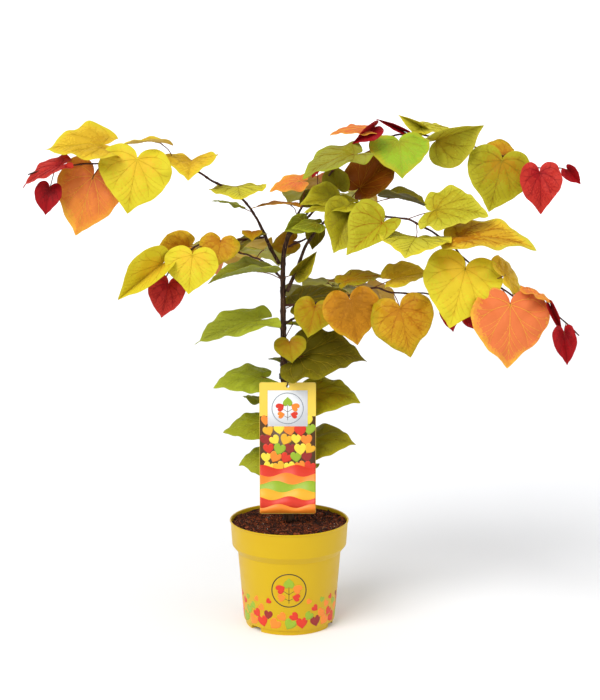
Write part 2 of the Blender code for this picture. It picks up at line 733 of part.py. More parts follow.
def tag_tie(limbs, group):
    """A closed loop: round the back of the trunk, over the card's top edge, and back through its hole."""
    axis, _, girth = limb_at(limbs["trunk"], TIE_HEIGHT)
    ring = girth + GAP + TIE_RADIUS
    strand = tag_hole_height() + TAG_HOLE_RADIUS - TIE_RADIUS - GAP
    over = TAG_TOP + TIE_RADIUS + GAP
    x, y = axis.x, axis.y
    card_x, card_y = TAG_CENTRE_X, TAG_DEPTH
    points = [Vector((x + ring * math.cos(turn), y + ring * math.sin(turn), TIE_HEIGHT))
              for turn in np.radians((0, 45, 90, 135, 180))]
    points += [
        Vector((x - 0.7 * ring, (y + card_y) / 2, TIE_HEIGHT + TIE_RADIUS)),
        Vector((card_x, card_y, over + TIE_RADIUS / 2)),
        Vector((card_x, card_y - 4 * TIE_RADIUS, (over + strand) / 2)),
        Vector((card_x, card_y, strand)),
        Vector((x + 0.8 * ring, (y + card_y) / 2, TIE_HEIGHT - 3 * TIE_RADIUS)),
    ]
    curve = bpy.data.curves.new("tag_tie", "CURVE")
    curve.dimensions = "3D"
    curve.bevel_depth = TIE_RADIUS
    curve.bevel_resolution = 1
    spline = curve.splines.new("POLY")
    loop = smooth_loop(points)
    spline.points.add(len(loop) - 1)
    for point, spot in zip(spline.points, loop):
        point.co = (*spot, 1)
    spline.use_cyclic_u = True
    obj = bpy.data.objects.new("tag_tie", curve)
    group.objects.link(obj)
    curve.materials.append(material("tie"))
    return obj


def build():
    clear_scene()
    plant = collection("potted_redbud")
    notches = collection("pot_notches")
    punches = collection("tag_punches")
    pot(plant, notches)
    soil(plant)
    limbs = make_limbs(plant)
    for name, plan in (SPRAYS | BACK_SPRAYS).items():
        spray(name, plan, limbs, plant)
    for number, row in enumerate(TRUNK_LEAVES, 1):
        trunk_leaf(number, row, limbs, plant)
    tag(plant, punches)
    tag_tie(limbs, plant)


build()
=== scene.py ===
"""A young redbud in its nursery pot: the looks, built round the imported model. Metres, +Z up, the viewer
at -Y. Routes and rows of leaves are in millimetres, as they were measured on the plant."""

import math
import random

import bmesh
import bpy
import numpy as np
from mathutils import Matrix, Vector, noise


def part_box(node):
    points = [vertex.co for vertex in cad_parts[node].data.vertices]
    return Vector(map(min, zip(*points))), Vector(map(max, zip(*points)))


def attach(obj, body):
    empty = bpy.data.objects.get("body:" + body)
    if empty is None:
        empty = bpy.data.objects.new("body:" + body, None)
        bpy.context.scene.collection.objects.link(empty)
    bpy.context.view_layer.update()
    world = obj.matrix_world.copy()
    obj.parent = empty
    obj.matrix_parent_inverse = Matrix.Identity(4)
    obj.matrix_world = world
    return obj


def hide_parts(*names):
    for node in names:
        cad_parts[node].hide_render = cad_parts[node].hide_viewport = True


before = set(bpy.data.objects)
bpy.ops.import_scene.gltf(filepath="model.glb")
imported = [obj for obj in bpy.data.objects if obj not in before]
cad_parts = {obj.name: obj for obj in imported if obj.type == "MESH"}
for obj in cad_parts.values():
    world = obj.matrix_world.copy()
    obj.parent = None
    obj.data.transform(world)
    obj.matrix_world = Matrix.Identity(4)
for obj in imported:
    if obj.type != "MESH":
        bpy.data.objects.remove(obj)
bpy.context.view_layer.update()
MM = 0.001


# The camera stands 2.3 m before the pot, as high as the crown, and looks a little down at it.
# Its lens and pitch follow the ellipses of the pot's rim and foot.
view = bpy.data.cameras.new("camera")
view.lens = 76.42
camera = bpy.data.objects.new("camera", view)
camera.location = (0.0172, -2.30, 0.823)
camera.rotation_euler = (math.radians(80.62), 0, 0)
bpy.context.scene.collection.objects.link(camera)
bpy.context.scene.camera = camera
bpy.context.scene.view_settings.view_transform = "Standard"


# The studio is a wide white floor that sweeps up into a low round wall, a soft key light from the upper
# left, a weaker one from the right, and an even white sky.
FLOOR_RADIUS = 6
SWEEP_RADIUS = 1.2
WALL_TOP = 2.4
FLOOR_STEPS = 96
SKY_STRENGTH = 0.56
# Each lamp: its power, its softness in degrees, and its turn
LAMPS = {"key_light": (2.2, 40, (48, 0, -38)), "fill_light": (0.6, 70, (62, 0, 48))}


def surface(name, colour, roughness, specular=0.5):
    """A Principled material of one colour."""
    made = bpy.data.materials.new(name)
    made.use_nodes = True
    shader = made.node_tree.nodes["Principled BSDF"]
    shader.inputs["Base Color"].default_value = (*colour, 1)
    shader.inputs["Roughness"].default_value = roughness
    shader.inputs["Specular IOR Level"].default_value = specular
    return made


def shown(name, bm, *materials):
    """An object at the origin from a bmesh, smooth but for its sharp edges, with its materials."""
    mesh = bpy.data.meshes.new(name)
    bm.to_mesh(mesh)
    bm.free()
    mesh.shade_smooth()
    for each in materials:
        mesh.materials.append(each)
    made = bpy.data.objects.new(name, mesh)
    bpy.context.scene.collection.objects.link(made)
    return made


def joined(into, bm):
    """Adds one bmesh to another, and frees it."""
    mesh = bpy.data.meshes.new("joined")
    bm.to_mesh(mesh)
    bm.free()
    into.from_mesh(mesh)
    bpy.data.meshes.remove(mesh)


def turned(profile, steps):
    """A bmesh turned about Z from a profile of (radius, height), open or with its ends on the axis."""
    bm = bmesh.new()
    line = [bm.verts.new((radius, 0, height)) for radius, height in profile]
    edges = [bm.edges.new(pair) for pair in zip(line, line[1:])]
    bmesh.ops.spin(bm, geom=line + edges, cent=(0, 0, 0), axis=(0, 0, 1), angle=math.tau, steps=steps,
                   use_merge=True)
    bmesh.ops.remove_doubles(bm, verts=bm.verts, dist=1e-6)
    bmesh.ops.recalc_face_normals(bm, faces=bm.faces)
    return bm


sweep = [math.radians(15 * step) for step in range(7)]
floor_line = [(0, 0), (FLOOR_RADIUS / 2, 0)]
floor_line += [(FLOOR_RADIUS + SWEEP_RADIUS * math.sin(a), SWEEP_RADIUS * (1 - math.cos(a))) for a in sweep]
floor_line += [(FLOOR_RADIUS + SWEEP_RADIUS, WALL_TOP)]
studio_white = surface("studio_white", (0.94, 0.945, 0.96), 0.9, 0.1)
floor = shown("floor", turned(floor_line, FLOOR_STEPS), studio_white)

for name, (power, softness, turn) in LAMPS.items():
    lamp = bpy.data.lights.new(name, "SUN")
    lamp.energy = power
    lamp.angle = math.radians(softness)
    light = bpy.data.objects.new(name, lamp)
    light.rotation_euler = [math.radians(a) for a in turn]
    bpy.context.scene.collection.objects.link(light)
sky = bpy.data.worlds.new("sky")
sky.use_nodes = True
sky.node_tree.nodes["Background"].inputs["Color"].default_value = (1, 1, 1, 1)
sky.node_tree.nodes["Background"].inputs["Strength"].default_value = SKY_STRENGTH
bpy.context.scene.world = sky


# The pot is moulded from yellow polypropylene: a deep collar with a rolled lip, a stepped body, and a foot
# ring with three drainage notches. It is turned from one profile, and its rings are eased.
POT_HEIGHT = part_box("pot")[1].z
RIM_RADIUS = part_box("pot")[1].x
COLLAR_FOOT = POT_HEIGHT - 39.6 * MM
COLLAR_FOOT_RADIUS = 91.3 * MM
STEP_FOOT = COLLAR_FOOT - 11 * MM
BODY_TOP_RADIUS = 82.4 * MM
BODY_FOOT_RADIUS = 73 * MM
FOOT_HEIGHT = 8 * MM
FOOT_RADIUS = 70 * MM
FOOT_RING = 10 * MM
POT_WALL = 2 * MM
PAD_RADIUS = 34 * MM
LIP = 1.3 * MM
NOTCH_HEIGHT = 6.5 * MM
NOTCH_WIDTH = math.radians(18)
NOTCH_BEARINGS = [math.radians(-18 + 120 * number) for number in range(3)]
POT_STEPS = 240
RING_EASE = 0.7 * MM
RING_CREASE = math.radians(24)
POT_YELLOW = (0.64, 0.43, 0.001)
POT_YELLOW_DEEP = (0.60, 0.36, 0.001)


def wired(made, kind, feeds=(), **values):
    """A node of a material, with its inputs fed from other outputs or set."""
    node = made.node_tree.nodes.new(kind)
    for name, value in values.items():
        node.inputs[name.replace("_", " ")].default_value = value
    for name, output in feeds:
        made.node_tree.links.new(output, node.inputs[name])
    return node


def on_object(made):
    return wired(made, "ShaderNodeTexCoord").outputs["Object"]


def feed(made, socket, output):
    made.node_tree.links.new(output, made.node_tree.nodes["Principled BSDF"].inputs[socket])


def mixed(made, factor, first, second):
    """A colour output that goes from the first colour to the second with the factor."""
    node = made.node_tree.nodes.new("ShaderNodeMix")
    node.data_type = "RGBA"
    node.inputs[6].default_value = (*first, 1)
    node.inputs[7].default_value = (*second, 1)
    made.node_tree.links.new(factor, node.inputs[0])
    return node.outputs[2]


def ranged(made, output, low, high, to_low, to_high):
    """The output, with its values from low to high moved to another range."""
    node = wired(made, "ShaderNodeMapRange", (("Value", output),))
    node.inputs["From Min"].default_value = low
    node.inputs["From Max"].default_value = high
    node.inputs["To Min"].default_value = to_low
    node.inputs["To Max"].default_value = to_high
    return node.outputs["Result"]


def bumped(made, output, height, strength=1.0):
    """A relief of the given height in metres from the output."""
    bump = wired(made, "ShaderNodeBump", (("Height", output),), Strength=strength, Distance=height)
    feed(made, "Normal", bump.outputs["Normal"])


def noisy(made, scale, detail=3.0, place=None):
    """A noise output on the object's coordinates, with its grain about 1 / scale metres wide."""
    feeds = (("Vector", place or on_object(made)),)
    return wired(made, "ShaderNodeTexNoise", feeds, Scale=scale, Detail=detail).outputs["Fac"]


def grained(name, colour, roughness, specular, scale, detail, relief):
    """A material of one colour with a fine noisy relief, in millimetres."""
    made = surface(name, colour, roughness, specular)
    bumped(made, noisy(made, scale, detail), relief * MM)
    return made


inner_ring = FOOT_RADIUS - FOOT_RING
lip_arc = [math.radians(30 * step) for step in range(-3, 7)]
lip_middle = (RIM_RADIUS - LIP, POT_HEIGHT - LIP)
pot_line = [
    (0, POT_WALL),
    (PAD_RADIUS - POT_WALL, POT_WALL),
    (PAD_RADIUS + POT_WALL, FOOT_HEIGHT + POT_WALL),
    (BODY_FOOT_RADIUS - POT_WALL, FOOT_HEIGHT + POT_WALL),
    (BODY_TOP_RADIUS - POT_WALL, STEP_FOOT + POT_WALL),
    (COLLAR_FOOT_RADIUS - POT_WALL, COLLAR_FOOT + POT_WALL),
    (RIM_RADIUS - 2 * LIP, POT_HEIGHT - 3 * LIP),
]
pot_line += [(lip_middle[0] + LIP * math.cos(math.pi - a), lip_middle[1] + LIP * math.sin(math.pi - a))
             for a in lip_arc[3:]]
pot_line += [(lip_middle[0] + LIP * math.cos(a), lip_middle[1] + LIP * math.sin(a)) for a in (-0.5, -1.2)]
pot_line += [
    (RIM_RADIUS - 1.1 * LIP, POT_HEIGHT - 2.6 * LIP),
    (COLLAR_FOOT_RADIUS, COLLAR_FOOT),
    (BODY_TOP_RADIUS, STEP_FOOT),
    (BODY_FOOT_RADIUS, FOOT_HEIGHT),
    (FOOT_RADIUS, FOOT_HEIGHT),
    (FOOT_RADIUS, 0),
    (inner_ring, 0),
    (inner_ring, FOOT_HEIGHT),
    (PAD_RADIUS + POT_WALL, FOOT_HEIGHT),
    (PAD_RADIUS, 0),
    (0, 0),
]
bm = turned(pot_line, POT_STEPS)
for vertex in bm.verts:
    radius = math.hypot(vertex.co.x, vertex.co.y)
    bearing = math.atan2(vertex.co.y, vertex.co.x)
    off = min(abs(math.remainder(bearing - notch, math.tau)) for notch in NOTCH_BEARINGS)
    if vertex.co.z < NOTCH_HEIGHT and radius > inner_ring - MM and off < NOTCH_WIDTH / 2:
        vertex.co.z = NOTCH_HEIGHT
rings = [edge for edge in bm.edges
         if edge.is_manifold and edge.calc_face_angle() > RING_CREASE
         and abs(edge.verts[0].co.z - edge.verts[1].co.z) < 1e-5]
bmesh.ops.bevel(bm, geom=rings, offset=RING_EASE, offset_type="OFFSET", segments=2, profile=0.5,
                affect="EDGES", material=-1)
pot_yellow = surface("yellow_polypropylene", POT_YELLOW, 0.38, 0.3)
feed(pot_yellow, "Base Color", mixed(pot_yellow, noisy(pot_yellow, 11), POT_YELLOW, POT_YELLOW_DEEP))
feed(pot_yellow, "Roughness", ranged(pot_yellow, noisy(pot_yellow, 60), 0.3, 0.7, 0.33, 0.46))
bumped(pot_yellow, noisy(pot_yellow, 900, 2), 0.06 * MM)
pot = shown("pot_shell", bm, pot_yellow)
pot.data.set_sharp_from_angle(angle=math.radians(40))
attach(pot, "root")
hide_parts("pot")


# The print on the pot is a plain scatter of heart leaves in the plant's own autumn colours, with a round
# sprig in the middle of the front. It lies on the body as a skin of ink.
HEART_BEARINGS = (0, 6, 16, 32, 52, 72, 92, 112, 132, 152, 172, 180)
HEART_REACH = (1.0, 0.90, 0.80, 0.74, 0.70, 0.665, 0.60, 0.515, 0.39, 0.22, 0.05, 0.02)
HEART_MIDDLE = 0.38
INK = 0.12 * MM


def heart_rim(uneven=()):
    """The heart's outline seen from its middle: the bearings, and how far the rim is at each."""
    bearings = np.arange(-180, 181)
    reach = np.interp(np.abs(bearings), HEART_BEARINGS, HEART_REACH)
    soft = np.convolve(np.pad(reach, 6, mode="wrap"), np.ones(13) / 13, mode="valid")
    kept = np.clip((np.abs(bearings) - 5) / 8, 0, 1) * np.clip((178 - np.abs(bearings)) / 8, 0, 1)
    reach = reach + (soft - reach) * kept
    turn = np.radians(bearings)
    for swing, count, phase in uneven:
        reach = reach * (1 + swing * np.sin(count * turn + phase) * kept)
    u = reach * np.cos(turn) - HEART_MIDDLE
    v = reach * np.sin(turn)
    seen = np.arctan2(v, u)
    order = np.argsort(seen)
    return seen[order], np.hypot(u, v)[order]


def heart_sheet(cells, rim):
    """A flat bmesh of even cells in a heart's outline, from its notch at 0 to its tip at 1 along X. The
    layer 'rim' says how near each vertex is to the edge."""
    bm = bmesh.new()
    bmesh.ops.create_grid(bm, x_segments=cells, y_segments=cells, size=1)
    near = bm.verts.layers.float.new("rim")
    for vertex in bm.verts:
        x, y, _ = vertex.co
        x, y = x * math.sqrt(1 - y * y / 2), y * math.sqrt(1 - x * x / 2)
        out, turn = math.hypot(x, y), math.atan2(y, x)
        far = float(np.interp(turn, *rim, period=math.tau)) * out
        vertex.co = (HEART_MIDDLE + far * math.cos(turn), far * math.sin(turn), 0)
        vertex[near] = out
    return bm


def body_radius(height):
    """The outer radius of the pot's body at a height."""
    share = (height - FOOT_HEIGHT) / (STEP_FOOT - FOOT_HEIGHT)
    return BODY_FOOT_RADIUS + (BODY_TOP_RADIUS - BODY_FOOT_RADIUS) * share


def onto_pot(arc, height, proud):
    """A place on the body, by its way round from the front and its height."""
    radius = body_radius(height) + proud
    turn = arc / body_radius(height)
    return Vector((radius * math.sin(turn), -radius * math.cos(turn), height))


def onto_card(across, height, proud):
    """A place on the front of the hang tag."""
    low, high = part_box("hang_tag")
    return Vector(((low.x + high.x) / 2 + across, low.y - proud, low.z + height))


def stamped(into, shape, lay, middle, size, turn, slot, level=0.0):
    """Adds a flat shape to a print: turned and sized, laid on a surface, and given a skin of ink."""
    placing = Matrix.Translation((*middle, 0)) @ Matrix.Rotation(math.radians(turn), 4, "Z")
    placing = placing @ Matrix.Scale(size, 4)
    bmesh.ops.transform(shape, verts=shape.verts, matrix=placing)
    flat = {vertex: vertex.co.copy() for vertex in shape.verts}
    skin = bmesh.ops.extrude_face_region(shape, geom=shape.faces[:])["geom"]
    raised = {item for item in skin if isinstance(item, bmesh.types.BMVert)}
    for vertex in shape.verts:
        across, height = vertex.co.x, vertex.co.y
        vertex.co = lay(across, height, level + (INK if vertex in raised else -0.5 * INK))
    bmesh.ops.recalc_face_normals(shape, faces=shape.faces)
    for face in shape.faces:
        face.material_index = slot
    joined(into, shape)


def heart_stamp(cells=6):
    """A heart with its middle at the origin and its tip down."""
    shape = heart_sheet(cells, heart_rim())
    bmesh.ops.translate(shape, verts=shape.verts, vec=(-HEART_MIDDLE, 0, 0))
    bmesh.ops.rotate(shape, verts=shape.verts, cent=(0, 0, 0), matrix=Matrix.Rotation(-math.pi / 2, 3, "Z"))
    return shape


def ring_stamp(inner, steps=64):
    """A flat ring of outer radius 1."""
    bm = bmesh.new()
    outer = bmesh.ops.create_circle(bm, segments=steps, radius=1)["verts"]
    middle = bmesh.ops.create_circle(bm, segments=steps, radius=inner)["verts"]
    edges = list({edge for vertex in outer + middle for edge in vertex.link_edges})
    bmesh.ops.bridge_loops(bm, edges=edges)
    return bm


def inks(*names):
    """Printed colours, each a satin surface with a faint grain."""
    return [
        bpy.data.materials.get(f"ink_{name}")
        or grained(f"ink_{name}", INK_COLOURS[name], 0.42, 0.4, 700, 2, 0.03)
        for name in names
    ]


INK_COLOURS = {
    "red": (0.68, 0.035, 0.012),
    "orange": (0.88, 0.24, 0.02),
    "green": (0.30, 0.44, 0.02),
    "maroon": (0.30, 0.02, 0.015),
    "dark": (0.035, 0.022, 0.012),
    "yellow": (0.92, 0.68, 0.05),
    "white": (0.86, 0.88, 0.90),
    "umber": (0.10, 0.045, 0.012),
    "grey": (0.28, 0.31, 0.34),
    "gold": (0.82, 0.42, 0.02),
}
SCATTER_ROWS = ((19, 15, 0.0), (32, 12, 0.5), (44, 9.5, 0.0), (55, 7.5, 0.5))
SCATTER_COUNT = 22
SCATTER_ORDER = (0, 1, 2, 0, 3, 1, 0, 2, 1)
SCATTER_SWAY = (0.12, 1.5, 50)
EMBLEM_HEIGHT = 76 * MM
EMBLEM_RADIUS = 28 * MM
EMBLEM_CLEAR = 27 * MM
EMBLEM_FROM = 40
draw = random.Random("pot print")
bm = bmesh.new()
number = 0
for height, size, shift in SCATTER_ROWS:
    for place in range(SCATTER_COUNT):
        girth = math.tau * body_radius(height * MM)
        aside, rise, swing = SCATTER_SWAY
        arc = (place + shift + draw.uniform(-aside, aside)) * girth / SCATTER_COUNT - girth / 2
        middle = (arc, (height + draw.uniform(-rise, rise)) * MM)
        if abs(arc) < EMBLEM_CLEAR and height > EMBLEM_FROM:
            continue
        turn = draw.uniform(-swing, swing)
        slot = SCATTER_ORDER[number % len(SCATTER_ORDER)]
        stamped(bm, heart_stamp(), onto_pot, middle, size * MM, turn, slot)
        number += 1
# The leaves of the emblem's sprig: how far across and up, their size, turn and ink
SPRIG = (
    (0, 12.5, 13.5, 180, "green"), (-12.5, 3, 12, 120, "red"), (12.5, 3, 12, -120, "orange"),
    (-11, -11.5, 10, 105, "orange"), (11, -11.5, 10, -105, "red"),
)
# Its stalks: how far across and up, their width, length and turn
SPRIG_STALKS = (
    (0, -8, 0.9, 27, 0), (-3.8, -4, 0.8, 10, 57), (3.8, -4, 0.8, 10, -57),
    (-3.2, -15, 0.7, 7.5, 62), (3.2, -15, 0.7, 7.5, -62),
)


def block_stamp(width, height, cells=1):
    """A flat upright block about the origin."""
    shape = bmesh.new()
    bmesh.ops.create_grid(shape, x_segments=cells, y_segments=1, size=0.5)
    bmesh.ops.scale(shape, verts=shape.verts, vec=(width, height, 1))
    return shape


def sprig_printed(into, lay, height, scale, slot_of, line, level):
    """Adds a small sprig to a print: its stalks, and its leaves one ink higher."""
    for across, up, wide, long, turn in SPRIG_STALKS:
        middle = (across * scale, height + up * scale)
        stamped(into, block_stamp(wide, long), lay, middle, scale, turn, slot_of[line], level)
    for across, up, size, turn, ink in SPRIG:
        middle = (across * scale, height + up * scale)
        stamped(into, heart_stamp(8), lay, middle, size * scale, turn, slot_of[ink], level + INK)


POT_INKS = {ink: number for number, ink in enumerate(("red", "orange", "green", "maroon", "dark"))}
stamped(bm, ring_stamp(0.94), onto_pot, (0, EMBLEM_HEIGHT), EMBLEM_RADIUS, 0, POT_INKS["dark"])
sprig_printed(bm, onto_pot, EMBLEM_HEIGHT, MM, POT_INKS, "dark", 0)
pot_print = shown("pot_print", bm, *inks(*POT_INKS))
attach(pot_print, "root")


# The potting mix is bark and peat, dark and crumbly, and stands a little higher round the trunk. Its top is
# one lumpy mesh, with loose chips, fibres and pale specks pressed into it.
SOIL_EDGE = 165 * MM
SOIL_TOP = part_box("soil")[1].z
SOIL_RADIUS = RIM_RADIUS - 3.4 * MM
SOIL_CELLS = 120
SOIL_SKIRT = 12 * MM
CHIPS = 1300
FIBRES = 150
SPECKS = 24
# The lumps: their grain, their seed and their height in millimetres
LUMPS = ((48, 3, 3.0), (130, 7, 2.2), (420, 1, 0.7))
CHIP_SIZES = (1.2, 3.6)
FIBRE_LENGTHS = (4, 15)
SPECK_SIZES = (0.5, 1.1)
CRUMPLE = 0.12
CRUMB_LOOK = (0.85, 0.25, 1500, 3, 0.3)
CRUMBS = {
    "peat_crumb": ((0.018, 0.004, 0.001), *CRUMB_LOOK),
    "bark_chip": ((0.11, 0.022, 0.006), *CRUMB_LOOK),
    "red_bark": ((0.26, 0.055, 0.014), *CRUMB_LOOK),
    "fibre": ((0.34, 0.14, 0.06), *CRUMB_LOOK),
    "perlite": ((0.36, 0.30, 0.25), *CRUMB_LOOK),
}


def soil_height(x, y):
    """The lumpy top of the mix, which falls a little towards the pot's wall."""
    out = math.hypot(x, y) / SOIL_RADIUS
    lumps = sum(noise.noise((x * grain, y * grain, seed)) * height for grain, seed, height in LUMPS)
    return SOIL_TOP - 1.0 * MM - (SOIL_TOP - SOIL_EDGE) * out**3 * 0.75 + lumps * MM * (1 - 0.3 * out)


bm = bmesh.new()
bmesh.ops.create_grid(bm, x_segments=SOIL_CELLS, y_segments=SOIL_CELLS, size=1)
for vertex in bm.verts:
    x, y, _ = vertex.co
    x, y = x * math.sqrt(1 - y * y / 2) * SOIL_RADIUS, y * math.sqrt(1 - x * x / 2) * SOIL_RADIUS
    vertex.co = (x, y, soil_height(x, y))
skirt = bmesh.ops.extrude_face_region(bm, geom=bm.faces[:])["geom"]
for item in skirt:
    if isinstance(item, bmesh.types.BMVert):
        item.co.z = SOIL_EDGE - SOIL_SKIRT
bmesh.ops.recalc_face_normals(bm, faces=bm.faces)
peat = surface("peat_and_bark", (0.05, 0.02, 0.009), 0.95, 0.2)
feed(peat, "Base Color", mixed(peat, ranged(peat, noisy(peat, 260, 6), 0.42, 0.66, 0, 1),
                               (0.012, 0.003, 0.001), (0.15, 0.028, 0.006)))
bumped(peat, noisy(peat, 900, 5), 1.2 * MM)
soil = shown("soil_top", bm, peat)
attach(soil, "root")
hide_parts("soil")

draw = random.Random("potting mix")
bm = bmesh.new()
for number in range(CHIPS + FIBRES + SPECKS):
    out = SOIL_RADIUS * math.sqrt(draw.uniform(0.02, 0.93))
    turn = draw.uniform(0, math.tau)
    x, y = out * math.cos(turn), out * math.sin(turn)
    tilt = Matrix.Rotation(draw.uniform(0, math.tau), 4, "Z") @ Matrix.Rotation(draw.gauss(0, 0.45), 4, "X")
    tilt = tilt @ Matrix.Rotation(draw.gauss(0, 0.4), 4, "Y")
    rest = Matrix.Translation((x, y, soil_height(x, y) + 0.3 * MM)) @ tilt
    if number < CHIPS:
        size = draw.uniform(*CHIP_SIZES) * (1.9 if number % 9 == 0 else 1)
        made = bmesh.ops.create_cube(bm, size=1, matrix=rest)["verts"]
        grain = Matrix.Diagonal((size * MM, size * draw.uniform(0.4, 0.8) * MM, size * 0.35 * MM))
        slot = draw.choice((0, 0, 0, 1, 1, 2))
    elif number < CHIPS + FIBRES:
        length = draw.uniform(*FIBRE_LENGTHS) * (1.6 if number % 11 == 0 else 1)
        along = rest @ Matrix.Rotation(math.pi / 2, 4, "X")
        made = bmesh.ops.create_cone(bm, cap_ends=True, segments=4, radius1=1, radius2=0.5, depth=1,
                                     matrix=along)["verts"]
        grain = Matrix.Diagonal((0.45 * MM, length * MM, 0.35 * MM))
        slot = 3 if number % 3 == 0 else 2
    else:
        made = bmesh.ops.create_icosphere(bm, subdivisions=1, radius=1, matrix=rest)["verts"]
        grain = Matrix.Diagonal(tuple(draw.uniform(*SPECK_SIZES) * MM for _ in range(3)))
        slot = 4
    turned_back = rest.to_3x3()
    spot = rest.translation
    for vertex in made:
        local = grain @ (turned_back.transposed() @ (vertex.co - spot))
        local += Vector([draw.uniform(-CRUMPLE, CRUMPLE) * MM for _ in range(3)])
        vertex.co = spot + turned_back @ local
    for face in {face for vertex in made for face in vertex.link_faces}:
        face.material_index = slot
crumbs = shown("soil_crumbs", bm, *[grained(name, *look) for name, look in CRUMBS.items()])
crumbs.data.set_sharp_from_angle(angle=math.radians(30))
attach(crumbs, "root")


# The trunk is one slim stem that flares at the soil and tapers to its fork, and two thin shoots leave it
# near its top. Their dark bark has fine ridges, pale breathing pores, and a swelling under each leaf.
TRUNK_ROUTE = (
    (-1, 0, 189), (-5, 0, 282), (-8, 0, 395), (-9, 0, 491), (-9, 0, 582), (-3, 0, 616), (5, 2, 637),
)
TRUNK_RADII = (7 * MM, 3.2 * MM)
ROOT_FLARE = 3 * MM
FLARE_HEIGHT = 21 * MM
BOUGHS = {
    "bough_left": ((-29, -4, 605), (-38, -6, 626), (-46, -8, 643)),
    "bough_right": ((13, -8, 573), (25, -14, 606), (37, -18, 625)),
}
BOUGH_FORKS = {"bough_left": 579 * MM, "bough_right": 536 * MM}
BOUGH_RADII = (3.0 * MM, 2.3 * MM)
GAP = 0.3 * MM
ROUTE_STEP = 24 * MM
BARK_STEP = 2 * MM
BARK_SIDES = 10
# Heights of the swellings on the trunk, and how far up a bough they are
TRUNK_KNOTS = (206, 240, 271, 300, 325, 352, 372, 398, 420, 452, 478, 505, 536, 556, 579)
BOUGH_KNOTS = (1, 24, 47)
KNOT_SWELL = 0.20
KNOT_LENGTH = 3.2 * MM
# The bark's ridges: their grain round and along the stem, and their height in millimetres
RIDGES = ((900, 110, 0.22), (300, 45, 0.28))
PORE = (0.45 * MM, 0.45 * MM, 0.9 * MM)
PORE_SPACING = 4 * MM


def placed(point):
    return Vector(point) * MM


def between(before, start, end, after, t):
    """A point of a Catmull-Rom curve, at share t of the stretch from start to end."""
    bend = 2 * before - 5 * start + 4 * end - after
    turn = 3 * start - before - 3 * end + after
    return 0.5 * (2 * start + (end - before) * t + bend * t**2 + turn * t**3)


def smooth_route(points, step=ROUTE_STEP):
    """The points of a smooth curve through the given ones, about a step apart."""
    ends = [points[0] * 2 - points[1], *points, points[-1] * 2 - points[-2]]
    route = [points[0]]
    for before, start, end, after in zip(ends, ends[1:], ends[2:], ends[3:]):
        steps = max(1, round((end - start).length / step))
        route += [between(before, start, end, after, number / steps) for number in range(1, steps + 1)]
    return route


def shares(route):
    """How far along the route each of its points lies, from 0 to 1, and the route's length."""
    steps = np.cumsum([0] + [(b - a).length for a, b in zip(route, route[1:])])
    return steps / steps[-1], steps[-1]


def point_at(route, share):
    """The point and the direction of a route at a share of its length."""
    along, _ = shares(route)
    index = min(max(int(np.searchsorted(along, share)) - 1, 0), len(route) - 2)
    start, end = route[index], route[index + 1]
    t = (share - along[index]) / (along[index + 1] - along[index])
    return start.lerp(end, t), (end - start).normalized()


def taper(route, radii):
    along, _ = shares(route)
    return [radii[0] + (radii[1] - radii[0]) * share for share in along]


def limb_at(limb, height):
    """The axis point, direction and radius of a limb at a height."""
    route, radii = limb
    for start, end, first, last in zip(route, route[1:], radii, radii[1:]):
        if start.z <= height <= end.z:
            t = (height - start.z) / (end.z - start.z)
            return start.lerp(end, t), (end - start).normalized(), first + (last - first) * t
    return route[-1], (route[-1] - route[-2]).normalized(), radii[-1]


def beside(limb, height, target, radius):
    """Where a stem of a radius starts beside a limb, when it heads for the target."""
    axis, direction, girth = limb_at(limb, height)
    heading = (target - axis).normalized()
    lean = heading.dot(direction)
    outward = (heading - direction * lean).normalized()
    return axis + outward * (girth + GAP + radius * abs(lean))


def strands(name, routes, resolution):
    """A mesh of closed round bars: each route has its points, its radius at each point, and a slot."""
    curve = bpy.data.curves.new(name, "CURVE")
    curve.dimensions = "3D"
    curve.bevel_depth = 1
    curve.bevel_resolution = resolution
    curve.use_fill_caps = True
    for _ in range(1 + max(slot for _, _, slot in routes)):
        curve.materials.append(None)
    for points, radii, slot in routes:
        spline = curve.splines.new("POLY")
        spline.points.add(len(points) - 1)
        spline.material_index = slot
        for knot, point, radius in zip(spline.points, points, radii):
            knot.co = (*point, 1)
            knot.radius = radius
    guide = bpy.data.objects.new(name, curve)
    bpy.context.scene.collection.objects.link(guide)
    mesh = bpy.data.meshes.new_from_object(guide.evaluated_get(bpy.context.evaluated_depsgraph_get()))
    bpy.data.objects.remove(guide)
    bpy.data.curves.remove(curve)
    bm = bmesh.new()
    bm.from_mesh(mesh)
    bpy.data.meshes.remove(mesh)
    bmesh.ops.remove_doubles(bm, verts=bm.verts, dist=1e-6)
    bmesh.ops.recalc_face_normals(bm, faces=bm.faces)
    return bm


foot = SOIL_TOP + GAP


def trunk_limb(step):
    """The trunk's route and radii: a level cut at the soil, a flare, then an even taper to the fork."""
    upright = smooth_route(list(map(placed, TRUNK_ROUTE)), step)
    base = upright[0]
    route = [Vector((base.x, base.y, height)) for height in (foot, foot + FLARE_HEIGHT / 3)] + upright
    radii = taper(route, TRUNK_RADII)
    radii[0] += ROOT_FLARE
    radii[1] += ROOT_FLARE / 3
    return route, radii


limbs = {"trunk": trunk_limb(ROUTE_STEP)}
fine_limbs = {"trunk": trunk_limb(BARK_STEP)}
for name, points in BOUGHS.items():
    points = list(map(placed, points))
    start = beside(limbs["trunk"], BOUGH_FORKS[name], points[0], BOUGH_RADII[0])
    for kept, step in ((limbs, ROUTE_STEP), (fine_limbs, BARK_STEP)):
        route = smooth_route([start, *points], step)
        kept[name] = (route, taper(route, BOUGH_RADII))

